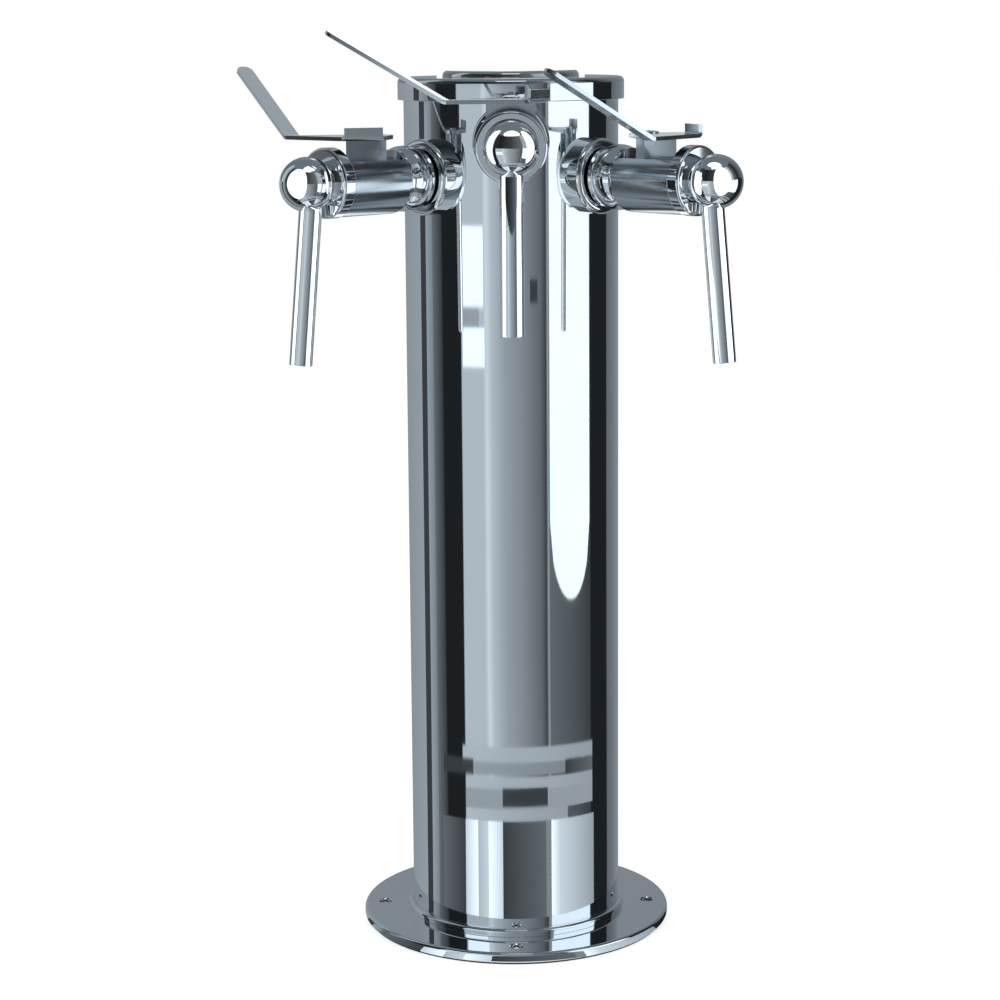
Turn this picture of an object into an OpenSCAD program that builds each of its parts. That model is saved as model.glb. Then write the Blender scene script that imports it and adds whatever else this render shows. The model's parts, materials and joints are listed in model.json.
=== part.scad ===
// Draft wine tower: a polished column on a round base with three ball-valve taps.
// Origin at the middle of the underside of the base gasket, +Z up, front towards -Y.
// Each tap is drawn in its own frame: the stem stands on the origin, +X points outwards
// along the tap, +Z is up, and the closed lever lies on the -Y side.

/* [Column] */
// Height from the surface that the tower stands on to the top of the cap's rim
tower_h = 412; // [340:1:480]
// Outer diameter of the column tube
column_d = 101.6; // [98:0.1:108]
// Wall of the column tube
column_wall = 1.5; // [1:0.1:2]
// Depth of the recess in the base in which the column stands
column_seat = 1.5; // [0.5:0.1:3]
// Height of the pipe guide above the surface that the tower stands on
guide_z = 45; // [30:1:90]
// Thickness of the pipe guide
guide_t = 8; // [4:0.5:14]

/* [Base] */
// Diameter of the base flange
base_d = 150; // [142:1:190]
// Thickness of the base flange
base_t = 5; // [4:0.5:8]
// Rounding of the flange's upper and lower rim
base_edge_r = 1.6; // [0.5:0.1:1.9]
// Distance from the flange's edge in to the middle of each base screw
bolt_inset = 10; // [8:0.5:12]
// Diameter of the holes for the base screws
bolt_hole_d = 6; // [4:0.1:8]
// Diameter of the passage for the pipes through the base
passage_d = 84; // [50:1:90]
// Thickness of the gasket under the base
gasket_t = 1; // [0.5:0.1:3]
// How far the gasket stays inside the flange's edge
gasket_inset = 2; // [1:0.5:4]
// Width of the rounded ring round the column's foot
foot_ring_w = 2.5; // [2:0.1:6]
// Height of the rounded ring round the column's foot
foot_ring_h = 3.5; // [2:0.1:8]
// Rounding of that ring's upper edge
foot_ring_r = 1.6; // [0.5:0.1:1.9]

/* [Cap] */
// Height of the cap's rim
cap_rim_h = 10.5; // [8:0.1:14]
// How far the cap's rim stands out past the column
cap_overhang = 2.7; // [1.8:0.1:4]
// Thickness of the cap's top
cap_top_t = 2.5; // [2:0.1:4]
// Rounding of the cap's upper edge
cap_edge_r = 2.4; // [0.5:0.1:2.4]
// Diameter of the raised disc in the middle of the cap
cap_disc_d = 64.5; // [30:0.5:90]
// Height of the raised disc
cap_disc_h = 3; // [2.7:0.1:5]
// Rounding of the raised disc's edge
cap_disc_r = 2.6; // [0.2:0.1:2.6]
// Depth to which the cap's spigot reaches into the column
cap_spigot_l = 8; // [6:0.1:12]
// Wall of the cap's spigot
cap_spigot_wall = 3; // [2.5:0.1:5]
// Thickness of the seal ring between the cap and the column
cap_seal_d = 2; // [1.5:0.1:2.4]

/* [Tap places] */
// Angle between one tap and the next, seen from above
tap_pitch = 46; // [46:1:70]
// Distance from the top of the cap's rim down to the axes of the side taps
side_tap_drop = 45; // [45:0.5:80]
// How much higher the front tap stands than the side taps
front_tap_rise = 16.8; // [15:0.1:17]
// Distance from the column's surface to the stem of a tap
stem_reach = 36.2; // [35.8:0.1:50]

/* [Shank] */
// Diameter of the rosette against the column
rosette_d = 35; // [30:0.5:36]
// Distance from the column's surface to the rosette's outer face
rosette_t = 9; // [7:0.1:9]
// Rounding of the rosette's outer edge
rosette_edge_r = 2.6; // [0.5:0.1:4]
// Diameter of the shank's thread
shank_d = 14; // [12:0.1:15]
// Diameter of the bore for the wine
wine_bore_d = 6; // [4:0.1:7]
// Diameter of the shank's outer collar
shank_collar_d = 21; // [18:0.1:22]
// Length to which the shank reaches in past the column's inner face
shank_inside_l = 15.3; // [14:0.1:16]
// Thickness of the saddle washer at its middle
saddle_t = 3.8; // [3:0.1:5]
// Diameter of the saddle washer
saddle_d = 22; // [20:0.5:26]
// Width of the lock nut across its flats
lock_nut_af = 22; // [19:0.5:24]
// Thickness of the lock nut
lock_nut_t = 5; // [4:0.1:6]

/* [Wine pipe] */
// Outer diameter of the wine pipe
pipe_d = 8; // [7:0.1:8]
// Bend radius of the wine pipe, to its middle
pipe_bend_r = 12; // [9:0.5:12]
// Distance from the column's middle to the upright run of each pipe
pipe_run_r = 16; // [14:0.5:16.5]
// Height of the pipes' lower ends above the surface that the tower stands on
pipe_end_z = 8; // [7:0.5:12]
// Diameter of the hose tail at the pipe's lower end
pipe_tail_d = 7; // [6.8:0.1:7]
// Length of the hose tail
pipe_tail_l = 20; // [12:0.5:25]
// Width of the tail nut across its flats
tail_nut_af = 17; // [16.5:0.5:19]
// Length of the tail nut
tail_nut_l = 10.5; // [10:0.1:12]
// Length of the ferrule on the pipe
ferrule_l = 3; // [2:0.1:3.5]

/* [Coupling] */
// Diameter of the coupling nut at its widest
coupling_d = 30; // [27:0.5:31]
// Length of the coupling nut
coupling_l = 15.4; // [14:0.1:16]
// Thickness of the coupling nut's inner shoulder
coupling_shoulder = 4.6; // [3:0.1:4.8]
// How much the coupling nut swells between its two plain ends
coupling_crown = 1.3; // [0.4:0.1:1.6]
// Length of each plain end of the coupling nut
coupling_end_l = 2.2; // [1.4:0.1:3.5]
// Rounding of the coupling nut's edges
coupling_edge_r = 0.6; // [0.2:0.1:1.2]
// Diameter of the tail with which the tap's body enters the coupling nut
body_tail_d = 13; // [11:0.1:14]
// Diameter of the flange on the end of that tail
tail_flange_d = 19; // [17:0.1:20]
// Thickness of that flange
tail_flange_t = 2.5; // [1.5:0.1:3]
// Thickness of the gasket between the shank and the tap's body
coupling_gasket_t = 1; // [0.5:0.1:2]

/* [Tap body] */
// Diameter of the tap's body
body_d = 31; // [30:0.1:32]
// Length of the body from the stem towards the column
body_back = 10; // [9.5:0.1:11]
// Length of the body from the stem outwards
body_front = 23.5; // [20:0.1:30]
// Height of the flat on top of the body above the tap's axis
flat_h = 9.5; // [9.2:0.1:11]
// Width of the upright boss across the tap
boss_w = 22; // [14:0.1:23]
// Thickness of the boss's flat-faced slab along the tap
boss_l = 5; // [3:0.1:8]
// Diameter of the round stem housing behind the slab
housing_d = 12.4; // [12:0.1:14]
// Height of the lever's underside above the tap's axis
lever_h = 18.6; // [18.6:0.1:22]
// Diameter of the ring at the front of the body
end_ring_d = 31.6; // [30:0.1:33]
// Length of the ring at the front of the body
end_ring_l = 6; // [4:0.1:8]
// Rounding of the front ring's edge
end_ring_edge_r = 1.2; // [0.3:0.1:2]

/* [Valve] */
// Diameter of the valve ball
valve_ball_d = 13; // [12:0.1:13]
// Diameter of the valve chamber
chamber_d = 14; // [14:0.1:14.6]
// Diameter of the valve stem
stem_d = 6; // [5:0.1:6.4]
// Diameter of the stem's collar inside the chamber
stem_collar_d = 8.4; // [8:0.1:9]
// Thickness of the stem's collar
stem_collar_t = 1.2; // [0.8:0.1:1.4]
// Width of the tang that turns the ball
tang_w = 2.4; // [2:0.1:3]
// Length of the tang
tang_l = 6; // [4:0.1:7]
// Side of the square on which the lever sits
stem_square = 4.2; // [4:0.1:4.2]
// Diameter of the gland round the stem
gland_d = 9.2; // [9:0.1:10]
// Depth of the gland
gland_depth = 6.2; // [4:0.1:6.4]
// Thickness of the seal ring round the stem
stem_seal_d = 1.5; // [1.2:0.1:1.5]

/* [Lever] */
// Thickness of the lever's plate
lever_t = 1.8; // [1.5:0.1:2.4]
// Diameter of the lever's eye
lever_eye_d = 19; // [14:0.5:22]
// How far the lever's bend lies outwards of the stem
bend_out = 24; // [24:0.5:27]
// How far the lever's bend lies to the side of the stem
bend_side = 27; // [25:0.5:28]
// Angle by which the lever's arm is swept back towards the column
arm_sweep = 14.3; // [13:0.1:16]
// Angle at which the lever's arm rises
arm_slope = 29.6; // [29:0.1:32]
// Length of the lever's arm from its bend to its tip, seen from above
arm_l = 54.5; // [45:0.5:55]
// Width of the arm at its bend
arm_root_w = 8; // [7:0.1:9]
// Width of the arm at its tip
arm_tip_w = 12.5; // [9:0.1:13]
// Inner radius of the bend between the plate and the arm
bend_r = 3; // [2:0.1:5]
// Height of the finger tab above the lever's plate
tab_h = 4; // [2:0.1:5]
// How far the tab's inner end lies outwards of the stem
tab_in_out = 8.3; // [7:0.1:10]
// How far the tab's inner end lies behind the stem
tab_in_side = 17; // [15:0.1:18]
// How far the tab's outer end lies outwards of the stem
tab_end_out = 23.4; // [21:0.1:25]
// How far the tab's outer end lies behind the stem
tab_end_side = 8.6; // [7:0.1:10]
// Diameter of the lever screw's head
screw_head_d = 8; // [6:0.1:10]
// Height of the lever screw's head
screw_head_h = 1.2; // [0.8:0.1:2]
// Diameter of the lever screw's thread
screw_d = 2.4; // [2:0.1:2.6]
// Length of the lever screw's thread below the lever
screw_l = 5; // [3:0.1:7]

/* [Spout] */
// Diameter of the ball on the tap's nose
nose_d = 24.4; // [23:0.1:26]
// Distance from the front ring's face to the middle of the nose ball
nose_stand = 9; // [9:0.1:10]
// Diameter of the nose ball's neck inside the front ring
neck_d = 10; // [9:0.1:11]
// Length of the neck inside the body
neck_l = 13; // [11:0.1:15]
// Outer diameter of the spout tube
spout_d = 10.4; // [9:0.1:10.4]
// Wall of the spout tube
spout_wall = 1; // [0.6:0.1:1.6]
// Lean of the spout tube outwards from the upright
spout_lean = 6.1; // [3:0.1:8]
// How far behind the ball's middle the spout's axis meets the tap's axis
spout_back = 3; // [2:0.1:3]
// Distance from the tap's axis down to the spout tube's upper end
spout_top = 5; // [4.5:0.1:6]
// Distance from the tap's axis down along the spout tube to its lower end
spout_reach = 80.5; // [60:0.5:110]
// Thickness of the seal ring round the spout tube
spout_seal_d = 1; // [0.6:0.1:1.1]
// Distance from the spout tube's upper end down to the middle of its seal ring
spout_seal_drop = 1.3; // [1.1:0.1:1.5]

/* [Hidden] */
$fn = 96;
// Running clearance on the radius of a pin or thread in its bore
fit = 0.05;
// Overrun of cuts
over = 1;
// Gap between the lever's plate and the boss beneath it
lever_gap = 0.3;
// Gap between the coupling nut and the tap's body
coupling_gap = 0.6;
// Wall between the valve chamber and the tail side of the body
chamber_back_wall = 1.8;
// Length of each valve seat along the tap
seat_l = 3.6;
// Height of the pocket above the stem's collar
collar_clear = 0.2;
// How far the ball's slot is wider than the tang
slot_clear = 0.1;
// Depth of the tang below the top of the valve ball
tang_depth = 1.8;
// Widening of the lock nut's and column's holes past the shank
hole_clear = 0.2;
// Gap between the ferrule and the faces beside it
ferrule_gap = 0.2;
// Height above the tap's axis of the well inside the nose ball
nose_well_h = 4;
// Flats that make up the lever's bend
bend_steps = 8;
// Depth of the recess in the cap's underside, within the spigot
cap_hollow = 1;

column_r = column_d / 2;
column_in_r = column_r - column_wall;
base_z = gasket_t + base_t;
column_z = base_z - column_seat;
column_top = tower_h - cap_top_t;
spigot_r = column_in_r - fit;
cap_seal_z = column_top - cap_spigot_l / 2;
stem_r = column_r + stem_reach;
boss_top = lever_h - lever_gap;
boss_x = housing_d / 2 - boss_l;
bolt_circle_d = base_d - 2 * bolt_inset;
spout_seal_z = -spout_top - spout_seal_drop;
bolt_count = 4;

// Taps from the viewer's left to right: angle from the front and height of the axis
TAPS = ["left", "front", "right"];
tap_angles = [-tap_pitch, 0, tap_pitch];
side_tap_z = tower_h - side_tap_drop;
tap_zs = [side_tap_z, side_tap_z + front_tap_rise, side_tap_z];

// Places along a tap's own X axis, measured from the stem
wall_x = -stem_reach;
rosette_x = wall_x + rosette_t;
coupling_front_x = -body_back - coupling_gap;
coupling_rear_x = coupling_front_x - coupling_l;
tail_flange_x = coupling_front_x - coupling_shoulder;
gasket_x = tail_flange_x - tail_flange_t;
shank_front_x = gasket_x - coupling_gasket_t;
shank_rear_x = wall_x - column_wall - shank_inside_l;
saddle_x = wall_x - column_wall - saddle_t;
lock_nut_x = saddle_x - lock_nut_t;
pipe_start_x = shank_rear_x - ferrule_gap;
chamber_x = -body_back + chamber_back_wall;
ring_x = body_front;
ring_face_x = ring_x + end_ring_l;
nose_x = ring_face_x + nose_stand;
neck_x = ring_face_x - neck_l;
seat_x = -chamber_x;

module at_tap(i) {
    rotate([0, 0, tap_angles[i] - 90])
        translate([stem_r, 0, tap_zs[i]]) children();
}

module at_taps() {
    for (i = [0:len(TAPS) - 1]) at_tap(i) children();
}

// A cylinder along +X that starts at x
module rod(d, x, l) {
    translate([x, 0, 0]) rotate([0, 90, 0]) cylinder(d = d, h = l);
}

// A cylinder along +X whose far edge is rounded
module rounded_rod(d, x, l, r) {
    rotate([0, 90, 0]) rotate_extrude() {
        translate([0, x]) square([d / 2 - r, l]);
        translate([0, x]) square([d / 2, l - r]);
        translate([d / 2 - r, x + l - r]) circle(r = r);
    }
}

// Base

module bolt_holes(d) {
    for (k = [0:bolt_count - 1]) rotate([0, 0, k * 360 / bolt_count])
        translate([bolt_circle_d / 2, 0, -over]) cylinder(d = d, h = base_z + 2 * over);
}

module base_gasket() {
    color("dimgray") difference() {
        cylinder(d = base_d - 2 * gasket_inset, h = gasket_t);
        translate([0, 0, -over]) cylinder(d = passage_d, h = gasket_t + 2 * over);
        bolt_holes(bolt_hole_d);
    }
}

module base_flange() {
    color("silver") difference() {
        translate([0, 0, gasket_t]) rotate_extrude() {
            square([base_d / 2 - base_edge_r, base_t]);
            translate([0, base_edge_r]) square([base_d / 2, base_t - 2 * base_edge_r]);
            translate([base_d / 2 - base_edge_r, base_edge_r]) circle(r = base_edge_r);
            translate([base_d / 2 - base_edge_r, base_t - base_edge_r]) circle(r = base_edge_r);
        }
        cylinder(d = passage_d, h = base_z + over);
        translate([0, 0, column_z]) difference() {
            cylinder(r = column_r + fit, h = column_seat + over);
            translate([0, 0, -over]) cylinder(r = column_in_r - fit, h = column_seat + 3 * over);
        }
        bolt_holes(bolt_hole_d);
    }
}

module foot_ring() {
    color("gainsboro") translate([0, 0, base_z]) rotate_extrude() translate([column_r + fit, 0]) {
        square([foot_ring_w, foot_ring_h - foot_ring_r]);
        square([foot_ring_w - foot_ring_r, foot_ring_h]);
        translate([foot_ring_w - foot_ring_r, foot_ring_h - foot_ring_r]) intersection() {
            circle(r = foot_ring_r);
            square(foot_ring_r);
        }
    }
}

// Column and cap

module column_tube() {
    color("silver") difference() {
        translate([0, 0, column_z]) cylinder(r = column_r, h = column_top - column_z);
        translate([0, 0, column_z - over]) cylinder(r = column_in_r, h = column_top - column_z + 2 * over);
        at_taps() rod(shank_d + 2 * hole_clear, wall_x - column_wall - over, column_wall + 2 * over);
    }
}

module top_cap() {
    rim_r = column_r + cap_overhang;
    inner_r = spigot_r - cap_spigot_wall;
    groove_h = cap_seal_d + 2 * fit;
    color("silver") rotate_extrude() difference() {
        union() {
            translate([0, column_top]) square([rim_r - cap_edge_r, cap_top_t]);
            translate([column_r, tower_h - cap_rim_h]) square([cap_overhang, cap_rim_h - cap_edge_r]);
            translate([rim_r - cap_edge_r, tower_h - cap_edge_r]) circle(r = cap_edge_r);
            translate([inner_r, column_top - cap_spigot_l]) square([cap_spigot_wall, cap_spigot_l + cap_hollow]);
            translate([0, tower_h]) square([cap_disc_d / 2 - cap_disc_r, cap_disc_h]);
            translate([0, tower_h]) square([cap_disc_d / 2, cap_disc_h - cap_disc_r]);
            translate([cap_disc_d / 2 - cap_disc_r, tower_h + cap_disc_h - cap_disc_r])
                circle(r = cap_disc_r);
        }
        translate([spigot_r, column_top - cap_rim_h]) square([column_wall + 2 * fit, cap_rim_h]);
        translate([0, column_top - over]) square([inner_r, cap_hollow + over]);
        translate([spigot_r - cap_seal_d - fit, cap_seal_z - groove_h / 2])
            square([cap_seal_d + 2 * fit, groove_h]);
    }
}

module cap_seal() {
    color("black") translate([0, 0, cap_seal_z]) rotate_extrude()
        translate([spigot_r - cap_seal_d / 2, 0]) circle(d = cap_seal_d);
}

module pipe_guide() {
    color("white") difference() {
        translate([0, 0, guide_z]) cylinder(r = column_in_r - fit, h = guide_t);
        for (i = [0:len(TAPS) - 1]) rotate([0, 0, tap_angles[i] - 90])
            translate([pipe_run_r, 0, guide_z - over]) cylinder(d = pipe_d + 2 * fit, h = guide_t + 2 * over);
    }
}

// Shank and pipe

module rosette() {
    color("silver") difference() {
        rounded_rod(rosette_d, wall_x - rosette_t, 2 * rosette_t, rosette_edge_r);
        translate([-stem_r, 0, -rosette_d]) cylinder(r = column_r, h = 2 * rosette_d);
        rod(shank_d + 2 * hole_clear, wall_x - rosette_t - over, 2 * rosette_t + 2 * over);
    }
}

module shank() {
    color("lightgray") difference() {
        union() {
            rod(shank_d, shank_rear_x, shank_front_x - shank_rear_x);
            rod(shank_collar_d, rosette_x, shank_front_x - rosette_x);
        }
        rod(wine_bore_d, shank_rear_x - over, shank_front_x - shank_rear_x + 2 * over);
    }
}

module saddle_washer() {
    color("silver") difference() {
        intersection() {
            rod(saddle_d, saddle_x, saddle_t + column_wall);
            translate([-stem_r, 0, -saddle_d]) cylinder(r = column_in_r, h = 2 * saddle_d);
        }
        rod(shank_d + 2 * hole_clear, saddle_x - over, saddle_t + column_wall + 2 * over);
    }
}

module hex_rod(af, x, l) {
    translate([x, 0, 0]) rotate([0, 90, 0]) cylinder(d = af / cos(30), h = l, $fn = 6);
}

module lock_nut() {
    color("goldenrod") difference() {
        hex_rod(lock_nut_af, lock_nut_x, lock_nut_t);
        rod(shank_d + 2 * fit, lock_nut_x - over, lock_nut_t + 2 * over);
    }
}

module ferrule() {
    color("goldenrod") difference() {
        rod(shank_d - 2 * fit, pipe_start_x - ferrule_l, ferrule_l);
        rod(pipe_d + 2 * fit, pipe_start_x - ferrule_l - over, ferrule_l + 2 * over);
    }
}

module tail_nut() {
    seat_end = pipe_start_x - ferrule_l - ferrule_gap;
    nut_x = seat_end - (tail_nut_l - ferrule_l) / 4;
    color("goldenrod") difference() {
        hex_rod(tail_nut_af, nut_x, tail_nut_l);
        rod(shank_d + 2 * fit, seat_end, tail_nut_l);
        rod(pipe_d + 2 * fit, nut_x - over, tail_nut_l);
    }
}

// The pipe's path: level out of the shank, a quarter bend, then straight down
module pipe_run(d, tap_z, extra) {
    bend_x = pipe_run_r + pipe_bend_r - stem_r;
    rod(d, bend_x, pipe_start_x - bend_x + extra);
    translate([bend_x, 0, -pipe_bend_r]) rotate([90, 0, 0]) rotate([0, 0, 90])
        rotate_extrude(angle = 90) translate([pipe_bend_r, 0]) circle(d = d);
    translate([pipe_run_r - stem_r, 0, pipe_end_z - tap_z - extra])
        cylinder(d = d, h = tap_z - pipe_end_z - pipe_bend_r + extra);
}

module product_pipe(i) {
    color("silver") at_tap(i) difference() {
        pipe_run(pipe_d, tap_zs[i], 0);
        pipe_run(wine_bore_d, tap_zs[i], over);
        translate([pipe_run_r - stem_r, 0, pipe_end_z - tap_zs[i] - over]) difference() {
            cylinder(d = pipe_d + over, h = pipe_tail_l + over);
            translate([0, 0, -over]) cylinder(d = pipe_tail_d, h = pipe_tail_l + 3 * over);
        }
    }
}

// Coupling

module coupling_nut() {
    end_r = coupling_d / 2 - coupling_crown;
    crown_l = coupling_l - 2 * coupling_end_l;
    crown_r = (crown_l * crown_l / 4 + coupling_crown * coupling_crown) / (2 * coupling_crown);
    color("silver") difference() {
        rotate([0, 90, 0]) rotate_extrude() {
            translate([0, coupling_rear_x]) square([end_r - coupling_edge_r, coupling_l]);
            translate([0, coupling_rear_x + coupling_edge_r]) square([end_r, coupling_l - 2 * coupling_edge_r]);
            for (x = [coupling_rear_x + coupling_edge_r, coupling_front_x - coupling_edge_r])
                translate([end_r - coupling_edge_r, x]) circle(r = coupling_edge_r);
            intersection() {
                translate([0, coupling_rear_x + coupling_end_l]) square([coupling_d, crown_l]);
                translate([coupling_d / 2 - crown_r, coupling_rear_x + coupling_l / 2]) circle(r = crown_r);
            }
        }
        rod(body_tail_d + 2 * hole_clear, coupling_rear_x - over, coupling_l + 2 * over);
        rod(shank_collar_d + 2 * fit, coupling_rear_x - over, coupling_l - coupling_shoulder + over);
    }
}

module coupling_gasket() {
    color("black") difference() {
        rod(tail_flange_d, shank_front_x, coupling_gasket_t);
        rod(wine_bore_d, shank_front_x - over, coupling_gasket_t + 2 * over);
    }
}

// Tap body and valve

module tap_body() {
    color("silver") difference() {
        union() {
            difference() {
                rod(body_d, -body_back, body_back + body_front);
                translate([-body_back - over, -body_d, flat_h])
                    cube([body_back + body_front + 2 * over, 2 * body_d, body_d]);
            }
            translate([boss_x, -boss_w / 2, 0]) cube([boss_l, boss_w, boss_top]);
            cylinder(d = housing_d, h = boss_top);
            rod(body_tail_d, tail_flange_x - tail_flange_t / 2, -body_back - tail_flange_x + tail_flange_t);
            rod(tail_flange_d, gasket_x, tail_flange_t);
        }
        rod(chamber_d, chamber_x, body_front - chamber_x + over);
        rod(wine_bore_d, gasket_x - over, body_front);
        cylinder(d = stem_d + 2 * fit, h = boss_top + over);
        translate([0, 0, boss_top - gland_depth]) cylinder(d = gland_d, h = gland_depth + over);
        cylinder(d = stem_collar_d + 2 * collar_clear, h = chamber_d / 2 + stem_collar_t + collar_clear);
    }
}

module seat() {
    bore_r = wine_bore_d / 2;
    rotate([0, 90, 0]) rotate_extrude() difference() {
        translate([bore_r, seat_x - seat_l]) square([chamber_d / 2 - fit - bore_r, seat_l]);
        circle(d = valve_ball_d + 2 * fit);
    }
}

module ball_seats() {
    color("white") at_taps() {
        seat();
        mirror([1, 0, 0]) seat();
    }
}

module end_ring() {
    spigot_x = seat_x;
    color("silver") difference() {
        union() {
            rounded_rod(end_ring_d, ring_x, end_ring_l, end_ring_edge_r);
            rod(chamber_d - 2 * fit, spigot_x, ring_x - spigot_x + over);
        }
        rod(wine_bore_d, spigot_x - over, ring_face_x);
        rod(neck_d + 2 * fit, neck_x - fit, neck_l + over);
    }
}

module valve_ball() {
    color("lightgray") difference() {
        sphere(d = valve_ball_d);
        translate([0, valve_ball_d, 0]) rotate([90, 0, 0]) cylinder(d = wine_bore_d, h = 2 * valve_ball_d);
        translate([-tang_l, -tang_w / 2 - slot_clear, valve_ball_d / 2 - tang_depth - slot_clear])
            cube([2 * tang_l, tang_w + 2 * slot_clear, valve_ball_d]);
    }
}

module valve_stem() {
    collar_z = chamber_d / 2;
    square_z = lever_h;
    square_h = lever_t - lever_gap / 2;
    color("lightgray") difference() {
        union() {
            intersection() {
                translate([-tang_l / 2, -tang_w / 2, valve_ball_d / 2 - tang_depth])
                    cube([tang_l, tang_w, collar_z - valve_ball_d / 2 + tang_depth + fit]);
                cylinder(d = stem_collar_d, h = collar_z + over);
            }
            translate([0, 0, collar_z]) cylinder(d = stem_collar_d, h = stem_collar_t);
            translate([0, 0, collar_z]) cylinder(d = stem_d, h = square_z - collar_z);
            translate([-stem_square / 2, -stem_square / 2, square_z - fit])
                cube([stem_square, stem_square, square_h + fit]);
        }
        translate([0, 0, lever_h - screw_l - over]) cylinder(d = screw_d + 2 * fit, h = lever_h);
    }
}

module stem_bush() {
    bush_h = gland_depth - stem_seal_d - 3 * fit;
    color("white") translate([0, 0, boss_top - bush_h - fit]) difference() {
        cylinder(d = gland_d - 2 * fit, h = bush_h);
        translate([0, 0, -over]) cylinder(d = stem_d + 2 * fit, h = bush_h + 2 * over);
    }
}

module stem_seal() {
    ring_r = (stem_d + gland_d) / 4;
    color("black") translate([0, 0, boss_top - gland_depth + stem_seal_d / 2 + fit])
        rotate_extrude() translate([ring_r, 0]) circle(d = stem_seal_d);
}

// Lever

// Point where a line from p touches a circle of radius r about the origin
function touch(p, r, side) =
    let (a = atan2(p[1], p[0]) + side * acos(r / norm(p))) [r * cos(a), r * sin(a)];

arm_dir = [-sin(arm_sweep), -cos(arm_sweep)];
arm_side = [cos(arm_sweep), -sin(arm_sweep)];
bend_at = [bend_out, -bend_side];
root_outer = bend_at + arm_side * arm_root_w / 2;
root_inner = bend_at - arm_side * arm_root_w / 2;
tab_in = [tab_in_out, tab_in_side];
tab_end = [tab_end_out, tab_end_side];

module lever_plate() {
    eye_r = lever_eye_d / 2;
    linear_extrude(lever_t) {
        circle(r = eye_r);
        polygon([tab_in, tab_end, root_outer, root_inner,
            touch(root_inner, eye_r, -1), touch(tab_in, eye_r, 1)]);
    }
}

module lever_tab() {
    along = tab_end - tab_in;
    translate([tab_in[0], tab_in[1], 0]) rotate([0, 0, atan2(along[1], along[0])])
        translate([0, -lever_t, 0]) cube([norm(along), lever_t, lever_t + tab_h]);
}

// The arm seen from above, with its root on the Y axis and its tip along +X
module arm_outline() {
    tip_r = arm_tip_w / 2;
    tip_x = arm_l - tip_r;
    edge = touch([-tip_x, arm_root_w / 2], tip_r, -1);
    translate([tip_x, 0]) circle(r = tip_r);
    polygon([[-lever_t, arm_root_w / 2], [-lever_t, -arm_root_w / 2], [0, -arm_root_w / 2],
        [tip_x + edge[0], -edge[1]], [tip_x + edge[0], edge[1]], [0, arm_root_w / 2]]);
}

// The arm seen from the side: flat, round the bend, then up the slope
module arm_profile() {
    centre = [0, lever_t + bend_r];
    far = arm_l / cos(arm_slope) * [cos(arm_slope), sin(arm_slope)];
    turns = [for (k = [0:bend_steps]) arm_slope * k / bend_steps];
    under = [for (a = turns) centre + (bend_r + lever_t) * [sin(a), -cos(a)]];
    upper = [for (k = [bend_steps:-1:0]) centre + bend_r * [sin(turns[k]), -cos(turns[k])]];
    polygon(concat([[-lever_t, lever_t], [-lever_t, 0]], under,
        [under[bend_steps] + far, upper[0] + far], upper));
}

module lever_arm() {
    translate([bend_at[0], bend_at[1], 0]) rotate([0, 0, -90 - arm_sweep]) intersection() {
        linear_extrude(arm_l) arm_outline();
        rotate([90, 0, 0]) linear_extrude(2 * arm_tip_w, center = true) arm_profile();
    }
}

module lever() {
    hole = stem_square + 2 * fit;
    color("silver") translate([0, 0, lever_h]) difference() {
        union() {
            lever_plate();
            lever_tab();
            lever_arm();
        }
        translate([-hole / 2, -hole / 2, -over]) cube([hole, hole, lever_t + 2 * over]);
    }
}

module lever_screw() {
    color("silver") translate([0, 0, lever_h + lever_t]) {
        cylinder(d = screw_head_d, h = screw_head_h);
        translate([0, 0, -lever_t - screw_l]) cylinder(d = screw_d, h = lever_t + screw_l + screw_head_h / 2);
    }
}

// Nose ball and spout

// Puts the children on the spout's axis, with -Z running down the tube
module on_spout() {
    translate([nose_x - spout_back, 0, 0]) rotate([0, -spout_lean, 0]) children();
}

module nose_ball() {
    socket_z = -spout_top + fit;
    color("silver") difference() {
        union() {
            intersection() {
                translate([nose_x, 0, 0]) sphere(d = nose_d);
                rod(2 * nose_d, ring_face_x, 2 * nose_d);
            }
            rod(neck_d, neck_x, neck_l + over);
        }
        rod(wine_bore_d, neck_x - over, neck_l + nose_stand - spout_back + over);
        on_spout() {
            translate([0, 0, -nose_d]) cylinder(d = spout_d - 2 * spout_wall, h = nose_d + nose_well_h);
            translate([0, 0, -nose_d]) cylinder(d = spout_d + 2 * fit, h = nose_d + socket_z);
            translate([0, 0, spout_seal_z - spout_seal_d / 2 - fit])
                cylinder(d = spout_d + 2 * spout_seal_d + 4 * fit, h = spout_seal_d + 2 * fit);
        }
    }
}

module spout_tube() {
    color("silver") on_spout() difference() {
        translate([0, 0, -spout_reach]) cylinder(d = spout_d, h = spout_reach - spout_top);
        translate([0, 0, -spout_reach - over]) cylinder(d = spout_d - 2 * spout_wall, h = spout_reach + over);
    }
}

module spout_seal() {
    color("black") on_spout() translate([0, 0, spout_seal_z]) rotate_extrude()
        translate([spout_d / 2 + spout_seal_d / 2 + fit, 0]) circle(d = spout_seal_d);
}

// Pieces that every tap has, by the name of the piece
module tap_piece(piece, i) {
    if (piece == "product_pipe") product_pipe(i);
    at_tap(i) {
        if (piece == "rosette") rosette();
        if (piece == "shank") shank();
        if (piece == "coupling_nut") coupling_nut();
        if (piece == "tap_body") tap_body();
        if (piece == "end_ring") end_ring();
        if (piece == "nose_ball") nose_ball();
        if (piece == "spout_tube") spout_tube();
        if (piece == "valve_ball") valve_ball();
        if (piece == "valve_stem") valve_stem();
        if (piece == "lever") lever();
        if (piece == "lever_screw") lever_screw();
    }
}

TAP_PIECES = ["rosette", "shank", "product_pipe", "coupling_nut", "tap_body", "end_ring",
    "nose_ball", "spout_tube", "valve_ball", "valve_stem", "lever", "lever_screw"];

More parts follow.
